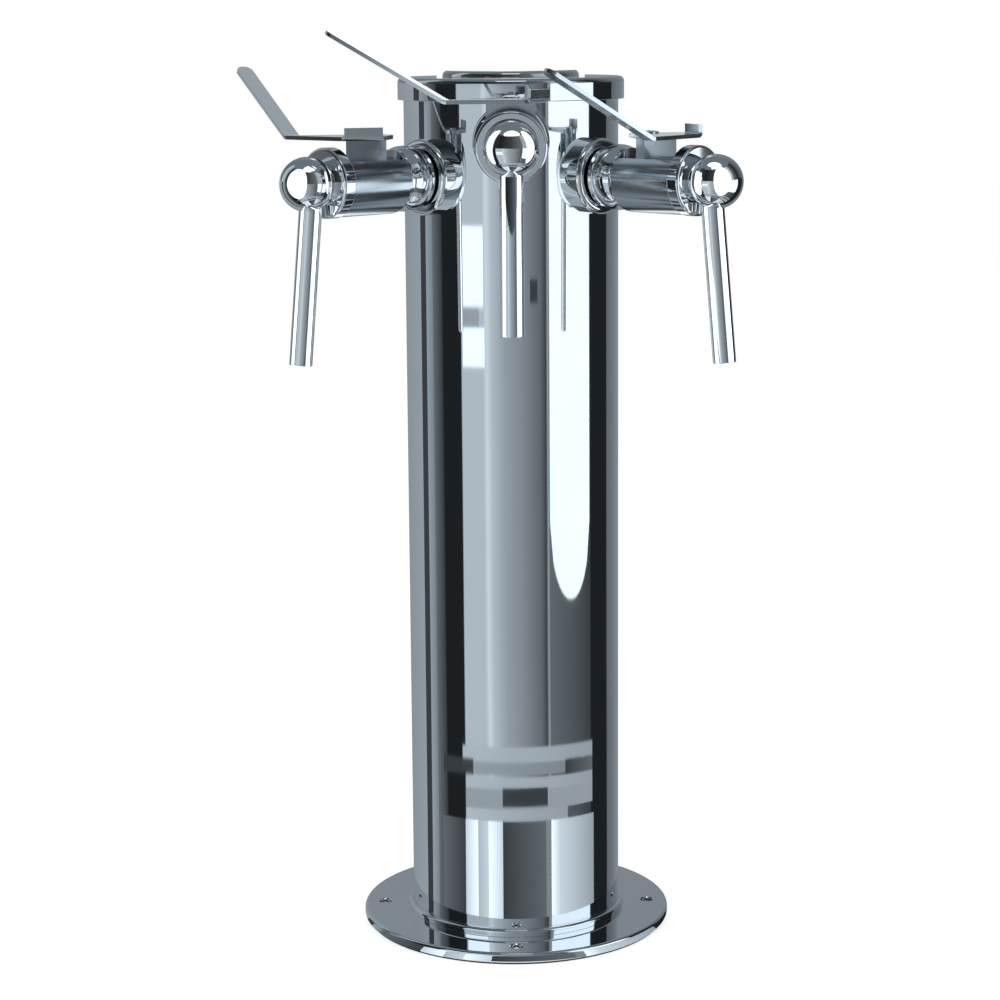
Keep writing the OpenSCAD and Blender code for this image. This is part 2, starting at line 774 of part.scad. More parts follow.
base_gasket();
base_flange();
foot_ring();
column_tube();
pipe_guide();
top_cap();
cap_seal();
at_taps() saddle_washer();  // saddle_washers
at_taps() lock_nut();  // lock_nuts
at_taps() ferrule();  // ferrules
at_taps() tail_nut();  // tail_nuts
at_taps() coupling_gasket();  // coupling_gaskets
ball_seats();
at_taps() stem_bush();  // stem_bushes
at_taps() stem_seal();  // stem_seals
at_taps() spout_seal();  // spout_seals
for (piece = TAP_PIECES, i = [0:len(TAPS) - 1])
    tap_piece(piece, i);
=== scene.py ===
# %% [markdown]
# # A draft wine tower in polished steel
# The object is an upright steel column on a round base, with three quarter-turn ball taps near its top. Its
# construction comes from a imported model: every solid at its real size, in metres, with the joints of the
# three handles. This lesson dresses that model. Turned parts get smooth meshes with rounded edges, tubes
# and screw holes come from Geometry Nodes, the levers are folded from flat blanks, and the metal gets its
# polish.

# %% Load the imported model
import json
import math

import bmesh
import bpy
from mathutils import Matrix, Vector

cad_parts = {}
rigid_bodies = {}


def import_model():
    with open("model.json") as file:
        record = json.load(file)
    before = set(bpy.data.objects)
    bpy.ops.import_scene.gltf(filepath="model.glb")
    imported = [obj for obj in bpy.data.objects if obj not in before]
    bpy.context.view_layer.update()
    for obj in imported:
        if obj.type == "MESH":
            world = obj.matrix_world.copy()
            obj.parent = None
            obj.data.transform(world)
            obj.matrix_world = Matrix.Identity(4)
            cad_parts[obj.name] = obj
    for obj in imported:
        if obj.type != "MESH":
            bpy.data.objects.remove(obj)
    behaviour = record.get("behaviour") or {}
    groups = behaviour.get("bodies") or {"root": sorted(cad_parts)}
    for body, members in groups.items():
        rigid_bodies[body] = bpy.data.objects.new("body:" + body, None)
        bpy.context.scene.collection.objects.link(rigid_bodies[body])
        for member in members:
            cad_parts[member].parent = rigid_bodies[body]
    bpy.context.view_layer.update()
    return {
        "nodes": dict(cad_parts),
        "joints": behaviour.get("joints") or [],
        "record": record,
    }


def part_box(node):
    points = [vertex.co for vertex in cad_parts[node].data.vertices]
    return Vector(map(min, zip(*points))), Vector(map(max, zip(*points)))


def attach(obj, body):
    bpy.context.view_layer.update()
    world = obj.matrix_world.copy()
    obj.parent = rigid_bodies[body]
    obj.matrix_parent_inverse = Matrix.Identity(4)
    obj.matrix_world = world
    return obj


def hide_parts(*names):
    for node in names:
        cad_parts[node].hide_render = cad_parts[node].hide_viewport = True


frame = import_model()
nodes = frame["nodes"]
MM = 0.001
QUARTER = math.pi / 2

# %% [markdown]
# ## Where the taps are
# All three taps are alike, so each piece is worked out once in a tap's own frame: the stem stands on the
# origin, +X points outwards along the tap and the closed lever lies on the -Y side. A 4 x 4 matrix for each
# tap then puts a piece in place. The matrices come from the joints, because each handle turns about its
# stem.

# %% The frame of each tap
TAPS = {}
for joint in frame["joints"]:
    tap = joint["name"].removeprefix("tap_")
    stem_x, stem_y, _ = joint["pos_m"]
    ring_low, ring_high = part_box("end_ring_" + tap)
    axis_z = (ring_low.z + ring_high.z) / 2
    turn = Matrix.Rotation(math.atan2(stem_y, stem_x), 4, "Z")
    TAPS[tap] = Matrix.Translation((stem_x, stem_y, axis_z)) @ turn
    print(tap, "tap: stem at", [round(v / MM, 1) for v in (stem_x, stem_y, axis_z)])
stem_r = TAPS["front"].translation.xy.length


def tap_box(piece):
    """Lowest and highest corner of a tap's piece in the tap's own frame, read from the front tap."""
    into_tap = TAPS["front"].inverted()
    a, b = (into_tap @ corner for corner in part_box(piece + "_front"))
    return Vector(map(min, a, b)), Vector(map(max, a, b))


def along_tap(piece):
    """Where a tap's turned piece starts and ends along the tap, and its radius."""
    low, high = tap_box(piece)
    return low.x, high.x, (high.y - low.y) / 2


def mount(name):
    """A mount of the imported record."""
    return next(m for m in frame["record"]["mounts"] if m["name"] == name)


column_low, column_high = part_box("column_tube")
column_r = (column_high.x - column_low.x) / 2
print("column radius", round(column_r / MM, 2), "mm")

# %% [markdown]
# ## The camera
# The photograph was taken with a long lens from a little above the tower, so its upright edges hardly lean.
# A camera is a place, a direction, a lens and a small shift. These were fitted to points measured on the
# column's edges, the base and the three nose balls, and are kept as real sizes.

# %% Camera
CAMERA_DISTANCE = 1.214
CAMERA_HEIGHT = 0.4348
CAMERA_TILT = math.radians(9.43)
CAMERA_YAW = math.radians(-0.30)
CAMERA_ROLL = math.radians(-0.43)
CAMERA_LENS_MM = 91.6
CAMERA_SHIFT_Y = -0.05

camera_data = bpy.data.cameras.new("camera")
camera_data.lens = CAMERA_LENS_MM
camera_data.shift_y = CAMERA_SHIFT_Y
camera = bpy.data.objects.new("camera", camera_data)
camera.location = (0, -CAMERA_DISTANCE, CAMERA_HEIGHT)
aim = Matrix.Rotation(-CAMERA_YAW, 4, "Z") @ Matrix.Rotation(QUARTER - CAMERA_TILT, 4, "X")
camera.rotation_euler = (aim @ Matrix.Rotation(CAMERA_ROLL, 4, "Z")).to_euler()
bpy.context.scene.collection.objects.link(camera)
bpy.context.scene.camera = camera
bpy.context.scene.view_settings.view_transform = "Standard"
print("camera", round(CAMERA_DISTANCE / MM), "mm away, lens", CAMERA_LENS_MM, "mm")

# %% [markdown]
# ## Helpers for node trees and objects
# Shaders are graphs. A short helper that makes a node, sets its properties and joins its inputs keeps each
# material readable. An input that is given a socket is linked to it, one that is given a node is linked to
# the node's first output, and any other value is typed in. Another helper turns mesh data into an object
# that stands at the origin.


# %% Helpers for node trees and objects
def fill(tree, made, inputs):
    """Links the inputs of a node that are given a node or a socket, and types the other values in."""
    for key, value in inputs.items():
        if isinstance(value, bpy.types.Node):
            value = value.outputs[0]
        if isinstance(value, bpy.types.NodeSocket):
            tree.links.new(value, made.inputs[key])
        else:
            made.inputs[key].default_value = value


def node(tree, kind, inputs=None, **settings):
    """A new node of that kind, with its properties set and its inputs filled or linked."""
    made = tree.nodes.new(kind)
    for key, value in settings.items():
        setattr(made, key, value)
    fill(tree, made, inputs or {})
    return made


def maths(tree, operation, a, b):
    """One step of arithmetic on nodes, sockets or numbers."""
    return node(tree, "ShaderNodeMath", {0: a, 1: b}, operation=operation)


def new_material(name):
    """An empty node material and its tree."""
    material = bpy.data.materials.new(name)
    material.use_nodes = True
    material.node_tree.nodes.clear()
    return material, material.node_tree


def new_group(name, kind, inputs, outputs):
    """A node group with the given sockets, (name, type, default), its own inputs and its output node."""
    group = bpy.data.node_groups.new(name, kind)
    for label, socket_type, default in inputs:
        socket = group.interface.new_socket(label, in_out="INPUT", socket_type="NodeSocket" + socket_type)
        if default is not None:
            socket.default_value = default
    for label, socket_type in outputs:
        group.interface.new_socket(label, in_out="OUTPUT", socket_type="NodeSocket" + socket_type)
    return group, group.nodes.new("NodeGroupInput").outputs, group.nodes.new("NodeGroupOutput")


def plain_object(name, bm, material):
    """An object at the origin that holds the mesh data."""
    mesh = bpy.data.meshes.new(name)
    bm.to_mesh(mesh)
    bm.free()
    mesh.materials.append(material)
    made = bpy.data.objects.new(name, mesh)
    bpy.context.scene.collection.objects.link(made)
    return made


# %% [markdown]
# ## The studio
# Polished metal has almost no colour of its own: it shows the room. So the room is built first. The floor
# and the background are plain white. Round the object stands a ring of tall studio cards, some white, some
# grey and some nearly black, and one soft box hangs above. Only reflections see the cards, as when a
# photographer keeps them just out of the picture. Their order round the column makes the long upright
# stripes.

# %% World and floor
FLOOR_SIZE = 12.0
FLOOR_GLOW = 0.66
FLOOR_COLOUR = (0.62, 0.62, 0.62, 1)
WORLD_LIGHT = 0.55


def seen_ray(tree):
    """1 for the rays that see the room, straight or in a mirror, and 0 for those that light the object."""
    path = node(tree, "ShaderNodeLightPath").outputs
    mirrored = maths(tree, "MAXIMUM", path["Is Glossy Ray"], path["Is Transmission Ray"])
    return maths(tree, "MAXIMUM", path["Is Camera Ray"], mirrored)


def stage_object(name, bm, material):
    """A plain object at the origin that holds a studio piece's mesh data."""
    made = plain_object(name, bm, material)
    return made


world = bpy.data.worlds.new("white_room")
bpy.context.scene.world = world
world.use_nodes = True
tree = world.node_tree
tree.nodes.clear()
lit = node(tree, "ShaderNodeBackground", {"Color": (1, 1, 1, 1), "Strength": WORLD_LIGHT})
shown = node(tree, "ShaderNodeBackground", {"Color": (1, 1, 1, 1), "Strength": 1.0})
mixed = node(tree, "ShaderNodeMixShader", {0: seen_ray(tree), 1: lit, 2: shown})
node(tree, "ShaderNodeOutputWorld", {"Surface": mixed})

floor_material, tree = new_material("studio_floor")
matt = node(tree, "ShaderNodeBsdfDiffuse", {"Color": FLOOR_COLOUR})
glow = node(tree, "ShaderNodeEmission", {"Color": (1, 1, 1, 1), "Strength": FLOOR_GLOW})
bright = node(tree, "ShaderNodeAddShader", {0: matt, 1: glow})
mixed = node(tree, "ShaderNodeMixShader", {0: seen_ray(tree), 1: matt, 2: bright})
node(tree, "ShaderNodeOutputMaterial", {"Surface": mixed})

bm = bmesh.new()
bmesh.ops.create_grid(bm, x_segments=1, y_segments=1, size=FLOOR_SIZE / 2)
stage_object("floor", bm, floor_material)
print("floor at z = 0,", FLOOR_SIZE, "m wide")

# %% [markdown]
# ## The ring of cards
# Directions round the tower are in degrees: 0 is towards the camera and plus is to the viewer's right.
# Where a ray mirrored by the column goes is easy to say: it leaves at twice the angle of the surface that
# it met. The cards are laid out along those mirrored rays, first out over the floor and then up a round
# wall, so one measure, the way along the ray's path, gives the height at which a card shows on the column.

# %% Tones and directions of the cards
WALL_WAY = 0.55
TOP_WAY = WALL_WAY + 0.41
CEILING_WAY = WALL_WAY + 1.05
FLOOR_START = 0.0245
CARD_HEIGHT = 0.3 * MM
CARD_STEP_DEG = 4
CARD_LIFT = 0.8 * MM
STRIPES_END = 0.192
TINT = (0.87, 0.98, 1.07)
WHITE, BRIGHT, PALE, LIGHT, MID, SLATE, DEEP, BLACK = 1.4, 0.85, 0.62, 0.42, 0.30, 0.17, 0.06, 0.018

ROUND_ROOM = [
    (-180, MID), (-116, LIGHT), (-116, DEEP), (-106, DEEP), (-106, LIGHT), (-96, MID), (-94, SLATE),
    (-82, DEEP), (-80, BLACK), (-57, BLACK), (-56, PALE), (-32, PALE), (-28, BRIGHT), (-22, PALE),
    (-8, LIGHT), (12, MID), (30, SLATE), (36, DEEP), (38, LIGHT), (40, SLATE), (92, DEEP), (93, BLACK),
    (122, BLACK), (124, SLATE), (160, MID), (180, MID)]
UPPER_ROOM = [
    (-180, MID), (-128, SLATE), (-122, DEEP), (-120, PALE), (-96, LIGHT), (-94, DEEP), (-40, BLACK),
    (0, DEEP), (38, SLATE), (40, LIGHT), (70, PALE), (72, SLATE), (94, BLACK), (124, SLATE), (180, MID)]


def room_point(direction, way, lift):
    """Where a ray that the column mirrors in that direction is after going that way over floor and wall."""
    half = math.radians(direction / 2)
    start = column_r * Vector((math.sin(half), -math.cos(half), 0))
    out = Vector((math.sin(2 * half), -math.cos(2 * half), 0))
    on_floor = min(way, WALL_WAY - lift)
    up = max(way - WALL_WAY, 0)
    return start + out * on_floor + Vector((0, 0, up + CARD_HEIGHT + lift))


def add_card(bm, stops, near, far, lift=0.0):
    """A card between two ways along the ray whose tone changes from stop to stop round the room."""
    layer = bm.loops.layers.float_color.get("tone") or bm.loops.layers.float_color.new("tone")
    near_at = near if callable(near) else lambda direction: near
    for (first, first_tone), (last, last_tone) in zip(stops, stops[1:]):
        steps = math.ceil((last - first) / CARD_STEP_DEG)
        for k in range(steps):
            shares = (k / steps, (k + 1) / steps)
            a, b = (first + (last - first) * share for share in shares)
            tones = [first_tone + (last_tone - first_tone) * share for share in shares]
            ways = [(near_at(a), near_at(b)), (far, far)]
            if max(ways[0]) < WALL_WAY < far:
                ways.insert(1, (WALL_WAY, WALL_WAY))
            for lower, upper in zip(ways, ways[1:]):
                corners = [(a, lower[0], tones[0]), (b, lower[1], tones[1]),
                           (b, upper[1], tones[1]), (a, upper[0], tones[0])]
                face = bm.faces.new([bm.verts.new(room_point(at, way, lift)) for at, way, _ in corners])
                for loop, (_, _, tone) in zip(face.loops, corners):
                    loop[layer] = (*(tone * part for part in TINT), 1)


def only_reflected(obj):
    """Only reflections see this object: not the camera, the floor's light or its shadows."""
    obj.visible_camera = False
    obj.visible_diffuse = False
    obj.visible_shadow = False
    obj.visible_transmission = False
    obj.visible_volume_scatter = False


card_material, tree = new_material("studio_cards")
tone = node(tree, "ShaderNodeVertexColor", layer_name="tone")
glow = node(tree, "ShaderNodeEmission", {"Color": tone.outputs["Color"], "Strength": 1.0})
node(tree, "ShaderNodeOutputMaterial", {"Surface": glow})

room = bmesh.new()
add_card(room, ROUND_ROOM, FLOOR_START, TOP_WAY)
add_card(room, UPPER_ROOM, TOP_WAY, CEILING_WAY)
only_reflected(stage_object("ring_of_cards", room, card_material))
print(len(ROUND_ROOM), "stops round the lower room,", len(UPPER_ROOM), "round the upper one")

# %% [markdown]
# ## Single cards
# On top of the ring come the single shapes that the photograph shows mirrored: the tall soft box on the
# right with its rounded foot, the small window on the left, and the bands that the bar top leaves near the
# foot of the column. Each row says where a card starts and ends round the room and along the ray.

# %% Single cards
BOX_LEFT, BOX_RIGHT = 40, 91
BOX_FOOT = WALL_WAY + 0.043
BOX_FOOT_RISE = 0.055
SINGLE_CARDS = [
    # Window on the left, from the top down
    ((-55, -31), WHITE, WHITE, WALL_WAY + 0.247, WALL_WAY + 0.302),
    ((-55, -36), LIGHT, LIGHT, WALL_WAY + 0.233, WALL_WAY + 0.247),
    ((-55, -30), WHITE, WHITE, WALL_WAY + 0.206, WALL_WAY + 0.233),
    # Small dark frame in the middle
    ((19, 27), DEEP, DEEP, WALL_WAY + 0.249, WALL_WAY + 0.265),
    # Bands of the bar top, from far to near
    ((-60, 95), PALE, LIGHT, 0.306, 0.339),
    ((-86, -47), DEEP, DEEP, 0.276, 0.309),
    ((57, 95), DEEP, SLATE, 0.276, 0.309),
    ((-47, 57), LIGHT, MID, 0.280, 0.306),
    ((-56, 95), PALE, LIGHT, 0.252, 0.276),
    ((-56, 95), LIGHT, LIGHT, 0.214, 0.252),
    ((-14, 36), DEEP, DEEP, 0.216, 0.252),
    ((-56, 60), PALE, LIGHT, STRIPES_END, 0.214),
    # Stripes beside the foot
    ((-88, -57), SLATE, DEEP, FLOOR_START, STRIPES_END),
    ((-57, -42), BRIGHT, WHITE, FLOOR_START, STRIPES_END),
    ((-42, -30), PALE, BRIGHT, FLOOR_START, STRIPES_END),
    ((-30, -14), WHITE, BRIGHT, FLOOR_START, STRIPES_END),
    ((-14, 34), DEEP, SLATE, FLOOR_START, STRIPES_END),
    ((34, 40), MID, MID, FLOOR_START, STRIPES_END),
    ((40, 50), WHITE, BRIGHT, FLOOR_START, STRIPES_END),
    ((50, 97), BRIGHT, LIGHT, FLOOR_START, STRIPES_END),
]


def box_foot(direction):
    """The soft box's lower edge, an arch upside down."""
    across = 2 * (direction - BOX_LEFT) / (BOX_RIGHT - BOX_LEFT) - 1
    return BOX_FOOT + BOX_FOOT_RISE * (1 - math.sqrt(max(1 - across ** 2, 0)))


singles = bmesh.new()
for directions, left_tone, right_tone, near, far in SINGLE_CARDS:
    lift = 2 * CARD_LIFT if left_tone == right_tone == DEEP else CARD_LIFT
    add_card(singles, list(zip(directions, (left_tone, right_tone))), near, far, lift=lift)
add_card(singles, [(BOX_LEFT, WHITE), (BOX_RIGHT, WHITE)], box_foot, TOP_WAY, lift=CARD_LIFT)
only_reflected(stage_object("single_cards", singles, card_material))
print(len(SINGLE_CARDS) + 1, "single cards")

# %% [markdown]
# ## Ceiling and soft lamps
# A dark ceiling closes the room over the cards, and one soft box hangs in it, which the cap and the balls
# mirror. Two large lamps give the floor its shadow. They are kept out of the reflections, because a mirror
# would show them as bright squares.

# %% Ceiling, soft box and lamps
CEILING_TONE = (0.16, 0.20, 0.23, 1)
SOFT_BOX_GLOW = 1.6
SOFT_BOX_SIZE = (0.30, 0.16)
SOFT_BOX_AT = (0.0, -0.42, 1.0)
KEY_LAMP_W = 9.0
KEY_LAMP_AT = Vector((-0.9, -1.1, 1.5))
FILL_LAMP_W = 5.0
FILL_LAMP_AT = Vector((1.2, -0.7, 1.2))
LAMP_SIZE = (1.2, 1.2)
LOOK_AT = Vector((0, 0, 0.2))
CEILING_SEGMENTS = 64


def glow_material(name, colour, strength):
    """A plain light-giving surface."""
    material, tree = new_material(name)
    glow = node(tree, "ShaderNodeEmission", {"Color": colour, "Strength": strength})
    node(tree, "ShaderNodeOutputMaterial", {"Surface": glow})
    return material


bm = bmesh.new()
bmesh.ops.create_circle(bm, radius=WALL_WAY + 2 * column_r, segments=CEILING_SEGMENTS, cap_ends=True,
                        matrix=Matrix.Translation((0, 0, CEILING_WAY - WALL_WAY)))
only_reflected(stage_object("ceiling_card", bm, glow_material("studio_ceiling", CEILING_TONE, 1.0)))

bm = bmesh.new()
bmesh.ops.create_grid(bm, x_segments=1, y_segments=1, size=0.5)
bm.transform(Matrix.Translation(SOFT_BOX_AT) @ Matrix.Diagonal((*SOFT_BOX_SIZE, 1, 1)))
only_reflected(stage_object("soft_box", bm, glow_material("studio_soft_box", (1, 1, 1, 1), SOFT_BOX_GLOW)))


def area_lamp(name, watts, place, target, size, shape="RECTANGLE"):
    """A soft lamp that looks at the target."""
    data = bpy.data.lights.new(name, "AREA")
    data.energy = watts
    data.shape = shape
    data.size, data.size_y = size
    lamp = bpy.data.objects.new(name, data)
    lamp.location = place
    lamp.rotation_euler = (target - place).to_track_quat("-Z", "Y").to_euler()
    bpy.context.scene.collection.objects.link(lamp)
    return lamp


for name, watts, place in (("key_lamp", KEY_LAMP_W, KEY_LAMP_AT), ("fill_lamp", FILL_LAMP_W, FILL_LAMP_AT)):
    area_lamp(name, watts, place, LOOK_AT, LAMP_SIZE).visible_glossy = False
print("lamps:", KEY_LAMP_W, "and", FILL_LAMP_W, "W")

# %% [markdown]
# ## Marks on polished metal
# A real mirror finish is never perfect. It has hairlines from the polishing wheel, soft clouds where it was
# wiped and a slight ripple. Every metal here needs the same marks at its own scale, so they are one shader
# group. It reads Object coordinates, so that the marks stay on the piece, and it gives out a roughness, a
# height and the cloud mask. The metal's own shader stays in each material.

# %% Shader group for polished metal
CLOUDS_SHOW = (0.42, 0.72)
HAIRLINES_SHOW = (0.55, 0.75)
HAIRLINE_ROUGHNESS = 0.02
marks, given, result = new_group(
    "polish_marks", "ShaderNodeTree",
    [("Hairline Scale", "Float", 900.0), ("Hairline Stretch", "Vector", (1.0, 1.0, 12.0)),
     ("Cloud Scale", "Float", 22.0), ("Ripple Scale", "Float", 60.0),
     ("Clean Roughness", "Float", 0.03), ("Wiped Roughness", "Float", 0.09),
     ("Ripple Share", "Float", 0.5)],
    [("Roughness", "Float"), ("Height", "Float"), ("Cloud", "Float")])
place = node(marks, "ShaderNodeTexCoord")
stretched = node(marks, "ShaderNodeVectorMath",
                 {0: place.outputs["Object"], 1: given["Hairline Stretch"]}, operation="MULTIPLY")
hairlines = node(marks, "ShaderNodeTexNoise",
                 {"Vector": stretched, "Scale": given["Hairline Scale"],
                  "Detail": 3.0, "Roughness": 0.6})
clouds = node(marks, "ShaderNodeTexNoise",
              {"Vector": place.outputs["Object"], "Scale": given["Cloud Scale"],
               "Detail": 4.0, "Roughness": 0.55, "Distortion": 0.4})
ripple = node(marks, "ShaderNodeTexNoise",
              {"Vector": place.outputs["Object"], "Scale": given["Ripple Scale"], "Detail": 1.0})
wiped = node(marks, "ShaderNodeMapRange",
             {"Value": clouds, "From Min": CLOUDS_SHOW[0], "From Max": CLOUDS_SHOW[1],
              "To Min": given["Clean Roughness"], "To Max": given["Wiped Roughness"]})
scuffs = node(marks, "ShaderNodeMapRange",
              {"Value": hairlines, "From Min": HAIRLINES_SHOW[0], "From Max": HAIRLINES_SHOW[1],
               "To Min": 0.0, "To Max": HAIRLINE_ROUGHNESS})
height = node(marks, "ShaderNodeMix", {"Factor": given["Ripple Share"], "A": hairlines, "B": ripple})
fill(marks, result, {"Roughness": maths(marks, "ADD", wiped, scuffs), "Height": height, "Cloud": clouds})
print("group", marks.name, "has", len(marks.nodes), "nodes")

# %% [markdown]
# ## The metals
# Stainless steel is a little greyer than chrome plate, and both are cool beside brass. A Principled shader
# with Metallic at 1 gives all of them. What sets them apart is the base colour, how rough they are, and
# whether the hairlines run round the upright axis or in no one direction.


# %% Metal materials
def surface(tree, colour, roughness, height, bump, depth, metallic=0.0):
    """The shader of a solid with a fine relief, joined to the material's output."""
    relief = node(tree, "ShaderNodeBump", {"Strength": bump, "Distance": depth, "Height": height})
    shader = node(tree, "ShaderNodeBsdfPrincipled",
                  {"Base Color": colour, "Metallic": metallic, "Roughness": roughness, "Normal": relief})
    node(tree, "ShaderNodeOutputMaterial", {"Surface": shader})


def metal(name, bright, dull, stretch, clean, wiped, hairline=900.0, bump=0.04, depth=0.02 * MM):
    """A polished metal: bright and dull are its colours where it is clean and where it was wiped."""
    material, tree = new_material(name)
    group = node(tree, "ShaderNodeGroup",
                 {"Hairline Scale": hairline, "Hairline Stretch": stretch,
                  "Clean Roughness": clean, "Wiped Roughness": wiped}, node_tree=marks)
    colour = node(tree, "ShaderNodeMix",
                  {"Factor": group.outputs["Cloud"], "A": (*bright, 1), "B": (*dull, 1)}, data_type="RGBA")
    surface(tree, colour.outputs["Result"], group.outputs["Roughness"], group.outputs["Height"], bump, depth,
            metallic=1.0)
    return material


ROUND_Z = (1.0, 1.0, 14.0)
EVEN = (3.0, 3.0, 3.0)
column_steel = metal("mirror_steel_column", (0.80, 0.83, 0.85), (0.72, 0.75, 0.78), ROUND_Z, 0.02, 0.05)
base_steel = metal("mirror_steel_base", (0.79, 0.82, 0.84), (0.70, 0.73, 0.76), EVEN, 0.03, 0.08)
tap_chrome = metal("tap_chrome", (0.84, 0.86, 0.87), (0.77, 0.79, 0.81), EVEN, 0.02, 0.06)
body_chrome = metal("satin_tap_chrome", (0.62, 0.67, 0.71), (0.55, 0.60, 0.64), EVEN, 0.14, 0.22, bump=0.06)
lever_chrome = metal("lever_chrome", (0.80, 0.83, 0.85), (0.71, 0.75, 0.78), EVEN, 0.16, 0.26, bump=0.08)
inner_steel = metal("turned_steel", (0.62, 0.62, 0.61), (0.52, 0.52, 0.52), ROUND_Z, 0.22, 0.34, bump=0.3)
brass = metal("turned_brass", (0.76, 0.56, 0.28), (0.60, 0.43, 0.22), EVEN, 0.18, 0.36, bump=0.3)
print("metals:", [m.name for m in (column_steel, base_steel, tap_chrome, body_chrome, lever_chrome,
                                  inner_steel, brass)])

# %% [markdown]
# ## Rubber and plastic
# The gasket under the base and the seal rings are black rubber: matt, with a fine grain and a little chalk
# where dust settles. The ball's seats, the stem's bush and the pipe guide are white plastic with faint
# turning marks. Both use one helper, with a grain that changes colour, roughness and height together.

# %% Rubber and plastic materials
GRAIN_DEPTH = 0.05 * MM


def moulded(name, colour, worn, grain_scale, rough_low, rough_high, bump):
    """A non-metal with a fine grain that shows in its colour, its roughness and its height."""
    material, tree = new_material(name)
    place = node(tree, "ShaderNodeTexCoord")
    grain = node(tree, "ShaderNodeTexNoise",
                 {"Vector": place.outputs["Object"], "Scale": grain_scale, "Detail": 5.0, "Roughness": 0.65})
    tint = node(tree, "ShaderNodeMix", {"Factor": grain, "A": (*colour, 1), "B": (*worn, 1)},
                data_type="RGBA")
    rough = node(tree, "ShaderNodeMapRange", {"Value": grain, "To Min": rough_low, "To Max": rough_high})
    surface(tree, tint.outputs["Result"], rough, grain, bump, GRAIN_DEPTH)
    return material


rubber = moulded("black_rubber", (0.018, 0.018, 0.018), (0.06, 0.06, 0.06), 1400, 0.55, 0.85, 0.35)
valve_plastic = moulded("white_valve_plastic", (0.84, 0.84, 0.82), (0.76, 0.76, 0.74), 800, 0.25, 0.45, 0.15)
guide_plastic = moulded("white_guide_plastic", (0.80, 0.80, 0.78), (0.70, 0.70, 0.68), 500, 0.35, 0.6, 0.25)
print("non-metals:", [m.name for m in (rubber, valve_plastic, guide_plastic)])

# %% [markdown]
# ## Turned parts
# Most of the tower was made on a lathe: flange, cap, rosettes, nuts, rings and balls. A lathe needs only
# half an outline. The outline's corners are written down with a rounding for each, the roundings are drawn
# as arcs, and the whole is spun round the axis. Small roundings matter on polished metal, because each one
# catches a bright line.

# %% Outline and lathe
ARC_STEPS = 6
SEGMENTS = 160
WELD = 0.0005 * MM


def circle_part(x, y, radius, first, last, steps):
    """Points on a circle about (x, y), from one direction to another."""
    turns = [first + (last - first) * k / steps for k in range(steps + 1)]
    return [Vector((x + radius * math.cos(a), y + radius * math.sin(a))) for a in turns]


def rounded(corners, steps=ARC_STEPS):
    """Points of a closed outline whose corners (x, y, radius) are rounded by arcs."""
    points = []
    for k, (x, y, radius) in enumerate(corners):
        here = Vector((x, y))
        if radius <= 0:
            points.append(here)
            continue
        before = (Vector(corners[k - 1][:2]) - here).normalized()
        after = (Vector(corners[(k + 1) % len(corners)][:2]) - here).normalized()
        half = before.angle(after) / 2
        centre = here + (before + after).normalized() * radius / math.sin(half)
        start = here + before * radius / math.tan(half) - centre
        end = here + after * radius / math.tan(half) - centre
        first = math.atan2(start.y, start.x)
        sweep = (math.atan2(end.y, end.x) - first + math.pi) % (2 * math.pi) - math.pi
        points += circle_part(*centre, radius, first, first + sweep, steps)
    return points


def arc(x, y, radius, first, last, steps):
    """Corners without rounding along an arc."""
    return [(*point, 0) for point in circle_part(x, y, radius, first, last, steps)]


def lathe(outline, segments=SEGMENTS):
    """The closed outline of (radius, height) points spun round the Z axis."""
    bm = bmesh.new()
    rings = []
    for k in range(segments):
        a = 2 * math.pi * k / segments
        rings.append([bm.verts.new((r * math.cos(a), r * math.sin(a), h)) for r, h in outline])
    for k in range(segments):
        for i in range(len(outline)):
            bm.faces.new((rings[k - 1][i - 1], rings[k][i - 1], rings[k][i], rings[k - 1][i]))
    bmesh.ops.remove_doubles(bm, verts=bm.verts, dist=WELD)
    bmesh.ops.recalc_face_normals(bm, faces=bm.faces)
    return bm


print("a rounded corner has", ARC_STEPS, "steps, a turn", SEGMENTS)

# %% [markdown]
# ## Smooth but flat where it should be
# Smooth shading alone would bend the reflections on flat faces and long tubes, because each corner's normal
# is an average. Two steps cure that: edges sharper than a set angle are marked sharp, and the Weighted
# Normal modifier lets large faces rule their corners. The result is turned into a plain mesh at once, so
# that nothing is left to evaluate later.

# %% From mesh data to a finished piece
SHARP_ANGLE = math.radians(32)


def applied(obj):
    """Turns what the modifiers make into the object's own plain mesh."""
    graph = bpy.context.evaluated_depsgraph_get()
    mesh = bpy.data.meshes.new_from_object(obj.evaluated_get(graph), preserve_all_data_layers=True,
                                           depsgraph=graph)
    obj.modifiers.clear()
    obj.data = mesh
    mesh.name = obj.name
    return obj


def smoothed(obj):
    """Smooth shading with sharp edges kept, weighted by the size of the faces."""
    obj.data.shade_smooth()
    obj.data.set_sharp_from_angle(angle=SHARP_ANGLE)
    weighted = obj.modifiers.new("weighted", "WEIGHTED_NORMAL")
    weighted.keep_sharp = True
    return applied(obj)


def settle(obj, body, slot, *replaced):
    """The piece rides on its body and stands for its CAD nodes, which are hidden; the slot is not used."""
    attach(obj, body)
    if replaced:
        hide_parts(*replaced)
    return obj


print("edges over", round(math.degrees(SHARP_ANGLE)), "degrees stay sharp")

# %% [markdown]
# ## Tubes from Geometry Nodes
# The column and the three spouts are the same thing at two sizes: a tube whose ends are rounded. That is a
# rule, so it is a node tree. A rectangle as wide as the wall and as long as the tube gets filleted corners,
# and Curve to Mesh sweeps it round a circle. One tree then serves every tube by its named inputs.

